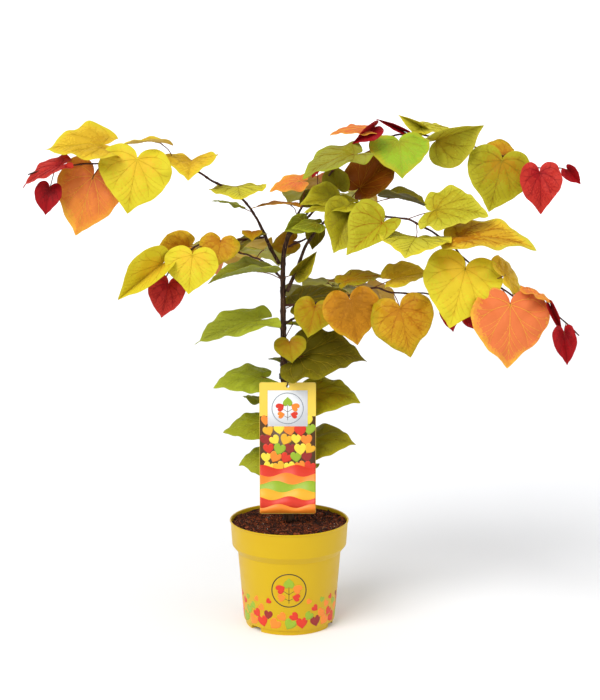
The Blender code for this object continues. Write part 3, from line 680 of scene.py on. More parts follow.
bark = surface("young_bark", (0.06, 0.03, 0.018), 0.68, 0.15)
bark_grain = wired(bark, "ShaderNodeMapping", (("Vector", on_object(bark)),), Scale=(1, 1, 0.16))
bark_tone = noisy(bark, 420, 5, bark_grain.outputs["Vector"])
feed(bark, "Base Color", mixed(bark, ranged(bark, bark_tone, 0.38, 0.68, 0, 1), (0.022, 0.010, 0.006),
                               (0.11, 0.052, 0.028)))
bumped(bark, bark_tone, 0.5 * MM)
pore = grained("bark_pore", (0.30, 0.19, 0.12), 0.8, 0.2, 1500, 2, 0.1)
draw = random.Random("bark")
for name, (route, radii) in fine_limbs.items():
    _, length = shares(route)
    if name == "trunk":
        knots = [height * MM for height in TRUNK_KNOTS]
    else:
        knots = [route[0].z + rise * MM for rise in BOUGH_KNOTS]
    swollen = []
    for number, (point, radius) in enumerate(zip(route, radii)):
        knot = max(math.exp(-(((point.z - height) / KNOT_LENGTH) ** 2)) for height in knots)
        swollen.append(radius * (1 + KNOT_SWELL * knot * (number > 1)))
    bm = strands(name, [(route, swollen, 0)], BARK_SIDES)
    bm.normal_update()
    for vertex in bm.verts:
        x, y, z = vertex.co
        ridge = sum(noise.noise((x * fine, y * fine, z * long)) * rise for fine, long, rise in RIDGES)
        if z > foot + 0.5 * MM:
            vertex.co += vertex.normal * ridge * MM
    for _ in range(int(length / PORE_SPACING)):
        spot, heading = point_at(route, draw.uniform(0.03, 0.97))
        _, _, girth = limb_at((route, radii), spot.z)
        aside = heading.orthogonal().normalized()
        aside.rotate(Matrix.Rotation(draw.uniform(0, math.tau), 3, heading))
        turn = heading.to_track_quat("Z", "Y").to_matrix().to_4x4()
        at = Matrix.Translation(spot + aside * girth) @ turn @ Matrix.Diagonal((*PORE, 1))
        made = bmesh.ops.create_icosphere(bm, subdivisions=1, radius=1, matrix=at)["verts"]
        for face in {face for vertex in made for face in vertex.link_faces}:
            face.material_index = 1
    limb = shown(f"{name}_bark", bm, bark, pore)
    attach(limb, "root")
    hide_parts(name)


# A redbud leaf is a thin heart on a slender stalk that thickens at both ends. Main veins fan out from its
# notch, and the blade puffs up between them. It folds a little at its midrib, and its colour goes from its
# middle over its body to its rim in five soft steps.
HUES = {
    "fresh_green": (0.30, 0.45, 0.020),
    "spring_green": (0.40, 0.45, 0.028),
    "leaf_green": (0.32, 0.34, 0.014),
    "deep_green": (0.18, 0.19, 0.006),
    "sage": (0.26, 0.23, 0.008),
    "olive": (0.20, 0.165, 0.002),
    "dark_olive": (0.125, 0.10, 0.001),
    "moss": (0.31, 0.30, 0.035),
    "khaki": (0.37, 0.315, 0.006),
    "lime": (0.46, 0.42, 0.018),
    "pale_lime": (0.56, 0.50, 0.035),
    "lemon": (0.67, 0.56, 0.022),
    "yellow": (0.72, 0.47, 0.022),
    "old_gold": (0.38, 0.27, 0.003),
    "gold": (0.54, 0.30, 0.008),
    "amber": (0.46, 0.185, 0.004),
    "ochre": (0.40, 0.21, 0.002),
    "bronze": (0.34, 0.13, 0.002),
    "umber": (0.26, 0.06, 0.001),
    "honey": (0.79, 0.39, 0.035),
    "orange": (0.76, 0.235, 0.035),
    "coral": (0.69, 0.165, 0.045),
    "scarlet": (0.50, 0.028, 0.018),
    "crimson": (0.33, 0.004, 0.007),
    "wine": (0.18, 0.001, 0.004),
    "green_vein": (0.40, 0.43, 0.04),
    "yellow_vein": (0.58, 0.40, 0.014),
    "brown_vein": (0.30, 0.21, 0.008),
    "rust_vein": (0.42, 0.16, 0.006),
    "honey_vein": (0.80, 0.42, 0.05),
    "red_vein": (0.24, 0.006, 0.006),
}
# Each tint: its middle, body and rim, its veins, and how far the middle's colour spreads from the notch
TINTS = {
    "green": ("sage", "leaf_green", "leaf_green", "green_vein", 0.3),
    "green_light": ("leaf_green", "spring_green", "spring_green", "green_vein", 0.3),
    "green_bright": ("leaf_green", "fresh_green", "lime", "green_vein", 0.25),
    "green_dark": ("olive", "deep_green", "leaf_green", "green_vein", 0.35),
    "green_grey": ("sage", "moss", "leaf_green", "brown_vein", 0.35),
    "green_olive": ("sage", "khaki", "lime", "brown_vein", 0.4),
    "sage": ("olive", "sage", "khaki", "brown_vein", 0.4),
    "olive": ("dark_olive", "olive", "khaki", "brown_vein", 0.4),
    "olive_dark": ("dark_olive", "dark_olive", "olive", "brown_vein", 0.35),
    "olive_lime": ("ochre", "old_gold", "khaki", "rust_vein", 0.45),
    "olive_gold": ("bronze", "ochre", "old_gold", "rust_vein", 0.45),
    "lime": ("old_gold", "lime", "pale_lime", "brown_vein", 0.35),
    "lime_yellow": ("lime", "pale_lime", "lemon", "brown_vein", 0.4),
    "lime_pink": ("khaki", "lime", "lime", "rust_vein", 0.45),
    "khaki": ("ochre", "khaki", "lime", "brown_vein", 0.35),
    "yellow": ("yellow", "lemon", "lemon", "yellow_vein", 0.45),
    "yellow_gold": ("gold", "yellow", "lemon", "yellow_vein", 0.45),
    "gold_lime": ("amber", "yellow", "pale_lime", "rust_vein", 0.55),
    "gold": ("amber", "gold", "old_gold", "rust_vein", 0.5),
    "gold_orange": ("bronze", "amber", "gold", "rust_vein", 0.6),
    "orange": ("coral", "orange", "honey", "honey_vein", 0.4),
    "coral": ("coral", "coral", "honey", "honey_vein", 0.55),
    "bronze": ("amber", "gold", "yellow", "rust_vein", 0.5),
    "umber": ("umber", "umber", "bronze", "rust_vein", 0.4),
    "red": ("crimson", "scarlet", "scarlet", "red_vein", 0.35),
    "crimson": ("wine", "crimson", "crimson", "red_vein", 0.35),
}
LAST_STEP = 4
# How strongly a leaf's colours are mottled in patches and from cell to cell, and where its rim starts
MOTTLE = 0.45
JITTER = 0.42
RIM_START = 0.62
# How uneven a leaf's outline is: the least and most swing, and the waves round it
UNEVEN = ((0.010, 0.025, 3), (0.008, 0.016, 7), (0.004, 0.010, 12), (0.002, 0.004, 21))
FACINGS = {
    "front": (0, -1, 0.15),
    "up": (0, -0.25, 1),
    "front_up": (0, -0.7, 0.7),
    "right_up": (0.8, -0.35, 0.6),
    "back_up": (0, 0.4, 0.9),
}
BLADE_ARCH = 0.06
BLADE_DOME = 0.10
BLADE_THICKNESS = 0.45 * MM
CELL = 2.3 * MM
QUILT = 0.014
VALLEY = 0.035
PUCKER = 0.009
VEIN_RADIUS = 0.5 * MM
VEIN_RISE = 0.12 * MM
FEW_VEINS = 42 * MM
STALK_SUNK = 0.12
STALK_LEAN = 0.6
STEM_STEP = 3 * MM
LAST_NODE = 0.985
NODE_SPACING = 18 * MM
STEM_RADII = (2.0 * MM, 1.0 * MM)
STALK_RADIUS = 0.75 * MM
# Main veins by their bearing off the midrib, each with its side veins: where they leave it and end
VEINS = {
    0: ((0.32, 21), (0.47, 15), (0.61, 10), (0.74, 6)),
    36: ((0.34, 52), (0.50, 44), (0.66, 36)),
    76: ((0.45, 84), (0.65, 72)),
    118: ((0.50, 126),),
}


def vein_reach(bearing):
    return 0.93 * float(np.interp(abs(bearing), HEART_BEARINGS, HEART_REACH))


def on_main(main, share):
    """A place along a main vein, which bends a little towards the tip."""
    bearing = math.radians(main * (1 - 0.27 * share * share))
    far = share * vein_reach(main * 0.73)
    return Vector((far * math.cos(bearing), far * math.sin(bearing)))


def vein_lines():
    """The veins of a blade as lines of (forward, sideways), each with its width at both ends."""
    lines = []
    for main, side_veins in VEINS.items():
        for side in ((1,) if main == 0 else (1, -1)):
            line = [on_main(main * side, share / 12) for share in range(13)]
            lines.append((line, 1.0 if main == 0 else 0.85, 0.4, True))
        for share, end_bearing in side_veins:
            for side in (1, -1):
                start = on_main(main * side, share)
                ahead = on_main(main * side, share + 0.16)
                turn = math.radians(end_bearing * side)
                end = Vector((math.cos(turn), math.sin(turn))) * vein_reach(end_bearing)
                bend = ahead.lerp(end, 0.32)
                line = [start.lerp(bend, t / 6).lerp(bend.lerp(end, t / 6), t / 6) for t in range(7)]
                lines.append((line, 0.55, 0.35, False))
    return lines


VEIN_LINES = vein_lines()
MAIN_POINTS = np.array([point for line, _, _, main in VEIN_LINES if main for point in line])
ALL_POINTS = np.array([point for line, _, _, _ in VEIN_LINES for point in line])


def nearest(points, u, v):
    """How far each place is from the nearest of the points."""
    gaps = np.hypot(u[:, None] - points[None, :, 0], v[:, None] - points[None, :, 1])
    return gaps.min(axis=1)


def leaf_frame(notch, tip, facing):
    """The blade's own axes at its notch: along the midrib, across it, and out of its face."""
    along = (tip - notch).normalized()
    face = Vector(FACINGS[facing]) if isinstance(facing, str) else facing
    face = (face - along * face.dot(along)).normalized()
    across = face.cross(along)
    made = Matrix((along, across, face)).transposed().to_4x4()
    made.translation = notch
    return made


def on_blade(u, v, form):
    """Places on a blade's face, in shares of the midrib: how far across, and how far out of its plane."""
    left, right = np.radians(form["folds"])
    fold = np.where(v > 0, left, right)
    across = v * form["width"]
    out = np.hypot(u - HEART_MIDDLE, v)
    turn = np.arctan2(v, u - HEART_MIDDLE)
    waves, phase = form["waves"], form["phase"]
    ripple = np.sin(waves * turn + phase) + 0.5 * np.sin(1.7 * waves * turn + 2 * phase)
    ripple *= form["wavy"] * np.clip(out / 0.55, 0, 1.2) ** 3
    droop = form["droop"] * np.clip((u - 0.72) / 0.28, 0, 1) ** 2
    twist = form["twist"] * across * (u - 0.3)
    height = BLADE_ARCH * 4 * u * (1 - u) - BLADE_DOME * across**2 + np.abs(across) * np.sin(fold)
    return across * np.cos(fold), height + ripple - droop + twist


def puffed(u, v, phase):
    """How far the blade is puckered out of its plane, in shares of the midrib."""
    return PUCKER * (np.sin(15 * u + phase) * np.sin(13 * v - phase) + 0.6 * np.sin(9 * u - 17 * v))


def leaf_blade(into, skins, tint, axes, length, width, folds, draw):
    """Adds a blade to a mesh, and returns its veins as strands and its form."""
    form = {
        "width": width,
        "folds": folds,
        "waves": draw.choice((6, 7, 8)),
        "phase": draw.uniform(0, math.tau),
        "wavy": draw.uniform(0.014, 0.028),
        "droop": draw.uniform(0, 0.02),
        "twist": draw.uniform(-0.06, 0.06),
        "lean": draw.uniform(-1.1, 1.1),
    }
    uneven = [(draw.uniform(low, high), count, draw.uniform(0, math.tau)) for low, high, count in UNEVEN]
    cells = 2 * min(23, max(7, round(0.58 * length / CELL)))
    bm = heart_sheet(cells, heart_rim(uneven))
    near = bm.verts.layers.float["rim"]
    rim = np.array([vertex[near] for vertex in bm.verts])
    flat = np.array([vertex.co.xy for vertex in bm.verts])
    u, v = flat[:, 0], flat[:, 1]
    veined = 1 - np.exp(-((nearest(ALL_POINTS, u, v) / VALLEY) ** 2))
    sideways, lift = on_blade(u, v, form)
    phase = form["phase"]
    lift = lift + (QUILT * veined + puffed(u, v, phase)) * (1 - rim**4)
    marks = np.array([[vertex.index for vertex in face.verts] for face in bm.faces])
    fu, fv, edge = u[marks].mean(1), v[marks].mean(1), rim[marks].mean(1)
    mottle = np.sin(9 * fu + phase) + np.sin(11 * fv + 2.1 * phase)
    mottle = (mottle + np.sin(7 * (fu + fv) - phase) + 0.7 * np.sin(23 * fu - 17 * fv)) / 3
    jitter = np.array([draw.uniform(-1, 1) for _ in range(len(marks))])
    spread = TINTS[tint][4]
    heat = np.exp(-((np.hypot(fu, fv) / spread) ** 1.6))
    heat += 0.3 * np.exp(-nearest(MAIN_POINTS, fu, fv) / 0.03)
    step = LAST_STEP / 2 * (1 - heat + np.clip((edge - RIM_START) / (1 - RIM_START), 0, 1) ** 1.5)
    step += form["lean"] * fv + MOTTLE * mottle + JITTER * jitter
    shade = np.clip(np.round(step), 0, LAST_STEP).astype(int)
    slots = [slot_in(skins, skin) for skin in leaf_skins(tint)]
    for face, pick in zip(bm.faces, shade):
        face.material_index = slots[pick]
    for vertex, forward, aside, height in zip(bm.verts, u, sideways, lift):
        vertex.co = Vector((forward, aside, height)) * length
    bmesh.ops.recalc_face_normals(bm, faces=bm.faces)
    bm.normal_update()
    upright = 1 if sum(vertex.normal.z for vertex in bm.verts) > 0 else -1
    lower = bmesh.ops.extrude_face_region(bm, geom=bm.faces[:])["geom"]
    for item in lower:
        if isinstance(item, bmesh.types.BMVert):
            item.co -= item.normal * upright * BLADE_THICKNESS
        elif isinstance(item, bmesh.types.BMFace):
            item.material_index = slots[-1]
    bmesh.ops.recalc_face_normals(bm, faces=bm.faces)
    bmesh.ops.transform(bm, verts=bm.verts, matrix=axes)
    joined(into, bm)
    veins = []
    thick = min(1.0, 0.45 + length / (140 * MM)) * VEIN_RADIUS
    for line, first, last, main in VEIN_LINES:
        if not main and length < FEW_VEINS:
            continue
        forward = np.array([point.x for point in line])
        across = np.array([point.y for point in line])
        sideways, height = on_blade(forward, across, form)
        height = height + puffed(forward, across, phase) + 0.3 * QUILT
        spots = zip(forward, sideways, height)
        points = [axes @ (Vector(spot) * length + Vector((0, 0, VEIN_RISE))) for spot in spots]
        veins.append((points, np.linspace(first, last, len(points)) * thick, slots[-2]))
    return veins, form


def stalk_line(start, axes, length, form):
    """A stalk's points and radii: a soft bow from its joint to inside the blade, thicker at both ends."""
    _, crown = on_blade(np.array([STALK_SUNK]), np.array([0.0]), form)
    end = axes @ Vector((STALK_SUNK * length, 0, crown[0] * length - BLADE_THICKNESS / 2))
    under = axes @ Vector((0, 0, -BLADE_THICKNESS))
    ahead = (end - under).normalized()
    bow = under.lerp(start, 0.35) - ahead * (under - start).length * 0.12
    line = smooth_route([start, start.lerp(bow, 0.5), bow, under], STEM_STEP) + [end]
    along = np.arange(len(line)) / (len(line) - 1)
    swollen = 1 + 0.5 * np.exp(-(((along - 0.86) / 0.07) ** 2)) + 0.5 * np.exp(-((along / 0.06) ** 2))
    radii = STALK_RADIUS * swollen
    radii[-1] = 0.4 * STALK_RADIUS
    return line, list(radii)


def leaf_surface(first, second, under=False):
    """A leaf's skin: one plain colour half-way between two hues, a soft sheen, and its finest veins."""
    name = "_".join(["leaf", first] + ([second] if second != first else []) + (["under"] if under else []))
    made = bpy.data.materials.get(name)
    if made:
        return made
    colour = [(one + other) / 2 for one, other in zip(HUES[first], HUES[second])]
    if under:
        colour = [0.84 * part + 0.07 * max(colour) for part in colour]
    if "vein" in first:
        return grained(name, colour, 0.6, 0.16, 900, 2, 0.05)
    made = surface(name, colour, 0.6, 0.16)
    cells = wired(made, "ShaderNodeTexVoronoi", (("Vector", on_object(made)),), Scale=330)
    cells.feature = "DISTANCE_TO_EDGE"
    bumped(made, ranged(made, cells.outputs["Distance"], 0.0, 0.12, 0, 1), 0.10 * MM, 0.6)
    feed(made, "Roughness", ranged(made, noisy(made, 90, 3), 0.3, 0.7, 0.50, 0.66))
    return made


def leaf_skins(tint):
    """The skins of a leaf: five steps from its middle to its rim, its veins, and its underside."""
    middle, body, rim, vein, _ = TINTS[tint]
    steps = ((middle, middle), (middle, body), (body, body), (body, rim), (rim, rim), (vein, vein))
    return [leaf_surface(*pair) for pair in steps] + [leaf_surface(body, body, under=True)]


def slot_in(skins, skin):
    """The number of a skin in a piece's list, where it is added if it is new."""
    if skin not in skins:
        skins.append(skin)
    return skins.index(skin)


stalk_red = grained("stalk_red", (0.20, 0.045, 0.02), 0.5, 0.2, 1200, 2, 0.08)
stalk_tone = mixed(stalk_red, noisy(stalk_red, 45, 2), (0.10, 0.022, 0.010), (0.28, 0.10, 0.022))
feed(stalk_red, "Base Color", stalk_tone)
twig_bark = grained("twig_bark", (0.06, 0.022, 0.014), 0.55, 0.2, 900, 3, 0.2)
twig_tone = mixed(twig_bark, noisy(twig_bark, 70, 3), (0.022, 0.008, 0.005), (0.11, 0.036, 0.018))
feed(twig_bark, "Base Color", twig_tone)


def leafed(name, rows, wood):
    """A piece with the blades of the rows, and a piece with their stalks and the wood that bears them. A
    row has its stalk's start, then its tint, notch, tip, facing, width and folds."""
    draw = random.Random(name)
    bm = bmesh.new()
    skins, veins, bars = [], [], list(wood)
    for start, tint, notch, tip, facing, width, folds in rows:
        axes = leaf_frame(notch, tip, facing)
        length = (tip - notch).length
        found, form = leaf_blade(bm, skins, tint, axes, length, width, folds, draw)
        veins += found
        bars.append((*stalk_line(start, axes, length, form), 1))
    joined(bm, strands("veins", veins, 0))
    leaves = shown(f"{name}_leaves", bm, *skins)
    leaves.data.set_sharp_from_angle(angle=math.radians(60))
    twigs = shown(f"{name}_twigs", strands("twigs", bars, 2), twig_bark, stalk_red)
    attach(leaves, "root")
    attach(twigs, "root")
    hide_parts(name)


# The sprays that show: each hangs from a bough's tip or the trunk, its twig bends a little at every joint,
# and its leaves turn from green at its foot to yellow, orange and crimson at its tip.
SPRAYS = {
    "spray_left_high": {
        "from": ("bough_left", None),
        "slot": "leaves_gold",
        "stem": (
            (-70, -12, 678), (-116, -20, 708), (-187, -32, 743), (-286, -50, 736), (-339, -58, 732),
            (-390, -62, 720),
        ),
        "leaves": (
            ("green", (-80, 30, 667), (-122, 35, 674), "up", 1, (18, -13)),
            ("lime_yellow", (-79, -20, 700), (-71, -80, 681), "up", 1.1, (4, 2)),
            ("yellow_gold", (-148, -25, 740), (-149, -85, 711), "up", 1.05, (20, 18)),
            ("yellow_gold", (-194, -32, 766), (-265, -40, 757), "up", 0.75, (27, -1)),
            ("yellow", (-226, -64, 742), (-241, -77, 662), "front", 1.05, (0, 0)),
            ("yellow_gold", (-279, -45, 763), (-366, -55, 753), "up", 1, (-3, 23)),
            ("orange", (-293, -56, 717), (-320, -66, 628), "front", 0.86, (0, 0)),
            ("red", (-340, -66, 734), (-398, -72, 701), "up", 0.95, (8, 8)),
            ("crimson", (-356, -74, 699), (-363, -78, 660), "front", 0.9, (25, 25)),
        ),
    },
    "spray_left_middle": {
        "from": ("bough_left", 622 * MM),
        "slot": "leaves_gold",
        "stem": ((-74, -35, 619), (-111, -60, 617), (-144, -80, 611), (-174, -92, 582), (-187, -96, 560)),
        "leaves": (
            ("olive_gold", (-56, -40, 632), (-55, -62, 620), "up", 1, (10, 10)),
            ("olive_dark", (-84, -25, 607), (-29, -25, 629), "up", 0.9, (1, 11)),
            ("gold", (-102, -70, 621), (-109, -85, 582), "front", 1.15, (10, 10)),
            ("bronze", (-151, -72, 612), (-202, -62, 597), "front", 1, (48, 38)),
            ("yellow", (-188, -100, 589), (-254, -105, 536), "front", 0.9, (67, 54)),
            ("yellow", (-142, -110, 603), (-147, -128, 547), "front", 1.06, (0, 0)),
            ("red", (-179, -98, 559), (-190, -98, 508), "front", 0.9, (20, 20)),
        ),
    },
    "spray_right_low": {
        "from": ("trunk", 514 * MM),
        "slot": "leaves_gold",
        "stem": (
            (45, -28, 521), (86, -50, 533), (129, -60, 548), (161, -70, 542), (210, -75, 541),
            (247, -75, 527), (262, -75, 511),
        ),
        "leaves": (
            ("olive_lime", (40, -50, 519), (29, -55, 471), "front", 1, (0, 10)),
            ("olive_lime", (89, -40, 557), (149, -30, 562), "up", 1, (2, 12)),
            ("gold_orange", (92, -85, 533), (104, -90, 465), "front", 0.99, (0, 0)),
            ("yellow_gold", (158, -60, 562), (218, -55, 568), "up", 1, (22, 6)),
            ("gold", (167, -95, 522), (183, -100, 448), "front", 1, (0, 0)),
            ("crimson", (240, -72, 522), (250, -68, 482), "front", 0.6, (20, 20)),
            ("crimson", (273, -72, 513), (294, -68, 485), "front", 0.82, (20, 20)),
        ),
    },
    "spray_right_middle": {
        "from": ("bough_right", None),
        "slot": "leaves_lime",
        "stem": (
            (71, -8, 660), (100, -2, 676), (145, -30, 655), (183, -58, 651), (240, -85, 619),
            (267, -98, 592), (335, -120, 542), (386, -130, 524), (428, -138, 488),
        ),
        "leaves": (
            ("green_dark", (43, -54, 646), (4, -60, 639), "front_up", 0.9, (15, -27)),
            ("green_olive", (93, -44, 676), (23, -58, 663), "front_up", 0.9, (35, -29)),
            ("green_olive", (69, -24, 681), (17, -36, 672), "front_up", 0.9, (34, 13)),
            ("umber", (111, 24, 696), (171, 54, 745), "front", 0.9, (35, 54)),
            ("green_olive", (92, -60, 663), (67, -85, 603), "front", 1, (15, 34)),
            ("olive_dark", (154, -35, 683), (217, -50, 666), "up", 1, (9, 37)),
            ("lime_pink", (140, -75, 648), (86, -100, 602), "front", 1, (62, 5)),
            ("lime", (220, -75, 667), (297, -95, 661), "up", 1, (30, -13)),
            ("lime_yellow", (190, -97, 628), (168, -172, 605), "up", 1.1, (8, 8)),
            ("gold_lime", (256, -100, 629), (366, -120, 615), "up", 0.8, (14, 4)),
            ("yellow", (261, -118, 584), (238, -130, 497), "front", 1.03, (0, 0)),
            ("yellow_gold", (320, -115, 574), (341, -62, 576), "right_up", 0.9, (0, 0)),
            ("coral", (326, -136, 533), (322, -150, 440), "front", 0.96, (0, 0)),
            ("orange", (353, -125, 553), (394, -130, 530), "up", 0.8, (-9, 12)),
            ("crimson", (387, -132, 529), (403, -137, 491), "front", 0.8, (84, 65)),
            ("crimson", (404, -150, 493), (409, -155, 446), "front", 0.75, (51, 30)),
        ),
    },
    "spray_right_high": {
        "from": ("trunk", 630 * MM),
        "slot": "leaves_lime",
        "stem": (
            (56, 25, 676), (96, 45, 719), (130, 55, 753), (160, 60, 773), (209, 65, 776), (302, 72, 755),
            (382, 70, 727), (433, 65, 724),
        ),
        "leaves": (
            ("crimson", (179, 55, 782), (136, 50, 801), "front", 0.6, (66, 84)),
            ("green_bright", (170, 20, 767), (173, -25, 712), "front", 1.05, (4, 4)),
            ("lime_yellow", (207, 60, 789), (171, 55, 807), "front", 0.9, (44, 87)),
            ("lime_yellow", (211, 70, 790), (263, 80, 782), "up", 1, (-2, -3)),
            ("lime", (232, 50, 768), (304, 40, 791), "front", 1, (81, -3)),
            ("gold", (345, 85, 744), (301, 90, 754), "front_up", 0.9, (11, 11)),
            ("khaki", (334, 50, 736), (314, 40, 656), "front", 0.98, (0, 0)),
            ("red", (392, 38, 718), (394, 30, 653), "front", 0.85, (25, 20)),
            ("crimson", (440, 60, 721), (460, 55, 699), "front", 0.9, (63, 33)),
        ),
    },
    "spray_top_middle": {
        "from": ("trunk", None),
        "slot": "leaves_orange",
        "stem": ((22, 0, 670), (45, 8, 696), (71, 12, 726), (94, 12, 754), (131, 5, 786)),
        "leaves": (
            ("gold_orange", (2, -14, 672), (-59, -22, 665), "up", 0.8, (20, -7)),
            ("orange", (17, 18, 706), (-31, 22, 690), "up", 1, (-6, 10)),
            ("olive_dark", (36, 26, 681), (14, 22, 665), "front", 1, (31, 39)),
            ("crimson", (43, 5, 733), (36, 0, 711), "front", 0.6, (20, 20)),
            ("sage", (76, 12, 695), (61, 22, 733), "front", 1, (33, 40)),
            ("green_grey", (98, -34, 749), (20, -56, 715), "up", 0.95, (8, 8)),
            ("coral", (122, 15, 787), (62, 5, 777), "up", 0.9, (3, -3)),
            ("crimson", (130, 0, 788), (97, -10, 764), "front", 0.85, (39, 75)),
        ),
    },
    "spray_centre": {
        "from": ("trunk", 606 * MM),
        "slot": "leaves_green",
        "stem": ((20, 12, 614), (45, 18, 627), (64, 28, 637)),
        "leaves": (
            ("olive_gold", (6, 20, 612), (-31, 22, 601), "front", 0.75, (0, 12)),
            ("green_dark", (23, -26, 646), (-7, -28, 632), "front", 1, (41, 48)),
            ("olive_dark", (45, 10, 631), (36, 5, 600), "front", 1, (53, 26)),
        ),
    },
}
JOINT_SWELL = 0.28
ZIGZAG = Vector((0, 0.6, 0.8)) * 0.7 * MM


def spray_stem(plan):
    """A spray's route as the limbs give it, its fine route with joints, and its free joints."""
    points = list(map(placed, plan["stem"]))
    name, height = plan["from"]
    limb = limbs[name]
    if height is None:
        tip, direction, _ = limb_at(limb, limb[0][-1].z)
        start = [tip + direction * GAP, tip + direction * (GAP + 3 * STEM_RADII[0])]
    else:
        start = [beside(limb, height, points[0], STEM_RADII[0])]
    route = start[:-1] + smooth_route([start[-1], *points])
    fine = start[:-1] + smooth_route([start[-1], *points], STEM_STEP)
    count = max(2, int(shares(route)[1] / NODE_SPACING))
    nodes = [point_at(route, LAST_NODE * number / count) for number in range(1, count + 1)]
    along, _ = shares(fine)
    bent, radii = [], []
    for point, share in zip(fine, along):
        joint = share / LAST_NODE * count
        near = joint - round(joint)
        swell = math.exp(-((near / 0.09) ** 2)) if round(joint) else 0
        sway = math.sin(math.pi * joint) if share > 0.08 else 0
        bent.append(point + ZIGZAG * sway)
        radii.append((STEM_RADII[0] + (STEM_RADII[1] - STEM_RADII[0]) * share) * (1 + JOINT_SWELL * swell))
    return route, (bent, radii, 0), nodes


def with_stalks(rows, nodes):
    """The rows, each with the free joint that its stalk starts from, leaning towards the stem's tip."""
    ready = []
    for tint, notch, tip, facing, width, folds in rows:
        notch, tip = placed(notch), placed(tip)
        reach = [(notch - spot).length - STALK_LEAN * (notch - spot).dot(ahead) for spot, ahead in nodes]
        chosen = nodes.pop(reach.index(min(reach)))
        ready.append((chosen[0], tint, notch, tip, facing, width, folds))
    return ready


for name, plan in SPRAYS.items():
    _, stem, nodes = spray_stem(plan)
    leafed(name, with_stalks(plan["leaves"], nodes), [stem])


# Single leaves grow straight from the trunk on stalks of their own, green and wide, with their faces up.
# Four more than the front shows are on the far side.
TRUNK_STALK_RISE = 0.35
TRUNK_LEAVES = (
    ("green", (-40, -15, 568), (-124, -40, 552), "up", 0.9, (35, 8)),
    ("green_light", (-48, -15, 493), (-145, -40, 457), "up", 0.9, (12, 4)),
    ("green_light", (-43, 24, 396), (-120, 4, 383), "up", 0.95, (-5, 4)),
    ("green", (-35, 16, 323), (-105, 4, 309), "up", 0.95, (-9, 3)),
    ("green", (-31, 10, 268), (-82, 14, 256), "up", 1, (-29, 12)),
    ("olive_lime", (1, -24, 460), (5, -32, 428), "front", 1.25, (5, 15)),
    ("olive_dark", (16, -3, 433), (122, -14, 431), "up", 0.9, (27, -12)),
    ("khaki", (28, 20, 370), (113, 0, 362), "up", 0.95, (9, -17)),
    ("sage", (25, 24, 290), (106, 4, 293), "up", 0.95, (9, -15)),
    ("olive_dark", (16, 5, 518), (91, 20, 535), "up", 1, (3, 5)),
    ("olive", (13, -22, 569), (43, -28, 601), "front", 0.9, (74, 43)),
    ("green", (0, 50, 240), (6, 122, 222), "back_up", 1, (6, 6)),
    ("green", (-26, 54, 352), (-38, 128, 334), "back_up", 1, (6, 6)),
    ("green_dark", (12, 60, 416), (16, 132, 400), "back_up", 1, (6, 6)),
    ("green", (6, 52, 478), (14, 122, 462), "back_up", 1, (6, 6)),
)
for number, (tint, notch, tip, *form) in enumerate(TRUNK_LEAVES, 1):
    notch, tip = placed(notch), placed(tip)
    axis, _, _ = limb_at(limbs["trunk"], notch.z)
    start = beside(limbs["trunk"], notch.z - TRUNK_STALK_RISE * (notch - axis).length, notch, STALK_RADIUS)
    leafed(f"trunk_leaf_{number}", [(start, tint, notch, tip, *form)], [])


# The far side of the crown has three sprays more. Their leaves alternate along the twig, and grow smaller,
# redder and steeper towards its tip.
BACK_SPRAYS = {
    "spray_back_left": {
        "from": ("trunk", 556 * MM),
        "slot": "leaves_lime",
        "stem": ((-40, 60, 575), (-80, 120, 584), (-120, 180, 584), (-160, 250, 562)),
        "leaves": 7,
    },
    "spray_back_right": {
        "from": ("trunk", 484 * MM),
        "slot": "leaves_lime",
        "stem": ((30, 60, 500), (58, 120, 514), (90, 190, 518), (120, 260, 502)),
        "leaves": 7,
    },
    "spray_back_high": {
        "from": ("trunk", 622 * MM),
        "slot": "leaves_gold",
        "stem": ((30, 60, 655), (52, 120, 678), (75, 190, 690), (90, 280, 685)),
        "leaves": 8,
    },
}
BACK_TINTS = {
    "spray_back_left": ("green_dark", "olive", "lime", "yellow_gold", "yellow", "gold", "orange"),
    "spray_back_right": ("green_dark", "sage", "olive", "green_olive", "lime", "olive_gold", "gold"),
    "spray_back_high": ("green_dark", "olive", "lime", "yellow", "gold", "orange", "crimson"),
}
BACK_LEAF_LENGTHS = (78, 58)
BACK_LEAF_DROOP = (0.25, 1.0)
BARE_STEM = 0.25
FIRST_LEAF = 0.6
OLD_FORM = (1, (8, 8))
YOUNG_FORM = (0.82, (20, 20))
YOUNG_FROM = 0.857


def grown_leaves(name, route, count):
    """Rows for the leaves of a far-side spray, on alternate sides of its twig."""
    draw = random.Random(name)
    up = Vector((0, 0, 1))
    rows = []
    for number in range(count):
        share = BARE_STEM + (1 - BARE_STEM) * (number + FIRST_LEAF) / count
        spot, forward = point_at(route, share)
        spot = spot / MM
        aside = forward.cross(up).normalized() * (-1) ** number
        size = float(np.interp(share, (0, 1), BACK_LEAF_LENGTHS)) * draw.uniform(0.88, 1.12)
        droop = float(np.interp(share, (0, 1), BACK_LEAF_DROOP)) + draw.uniform(-0.1, 0.1)
        notch = spot + (aside * 0.34 + forward * 0.2 + up * 0.12) * size
        heading = (aside * 0.8 + forward * 0.6 - up * droop).normalized()
        facing = up + (aside * 0.5 + forward * 0.9) * share
        tint = BACK_TINTS[name][int(share * len(BACK_TINTS[name]))]
        form = YOUNG_FORM if share > YOUNG_FROM else OLD_FORM
        rows.append((tint, notch, notch + heading * size, facing, *form))
    return rows


for name, plan in BACK_SPRAYS.items():
    route, stem, nodes = spray_stem(plan)
    leafed(name, with_stalks(grown_leaves(name, route, plan["leaves"]), nodes), [stem])


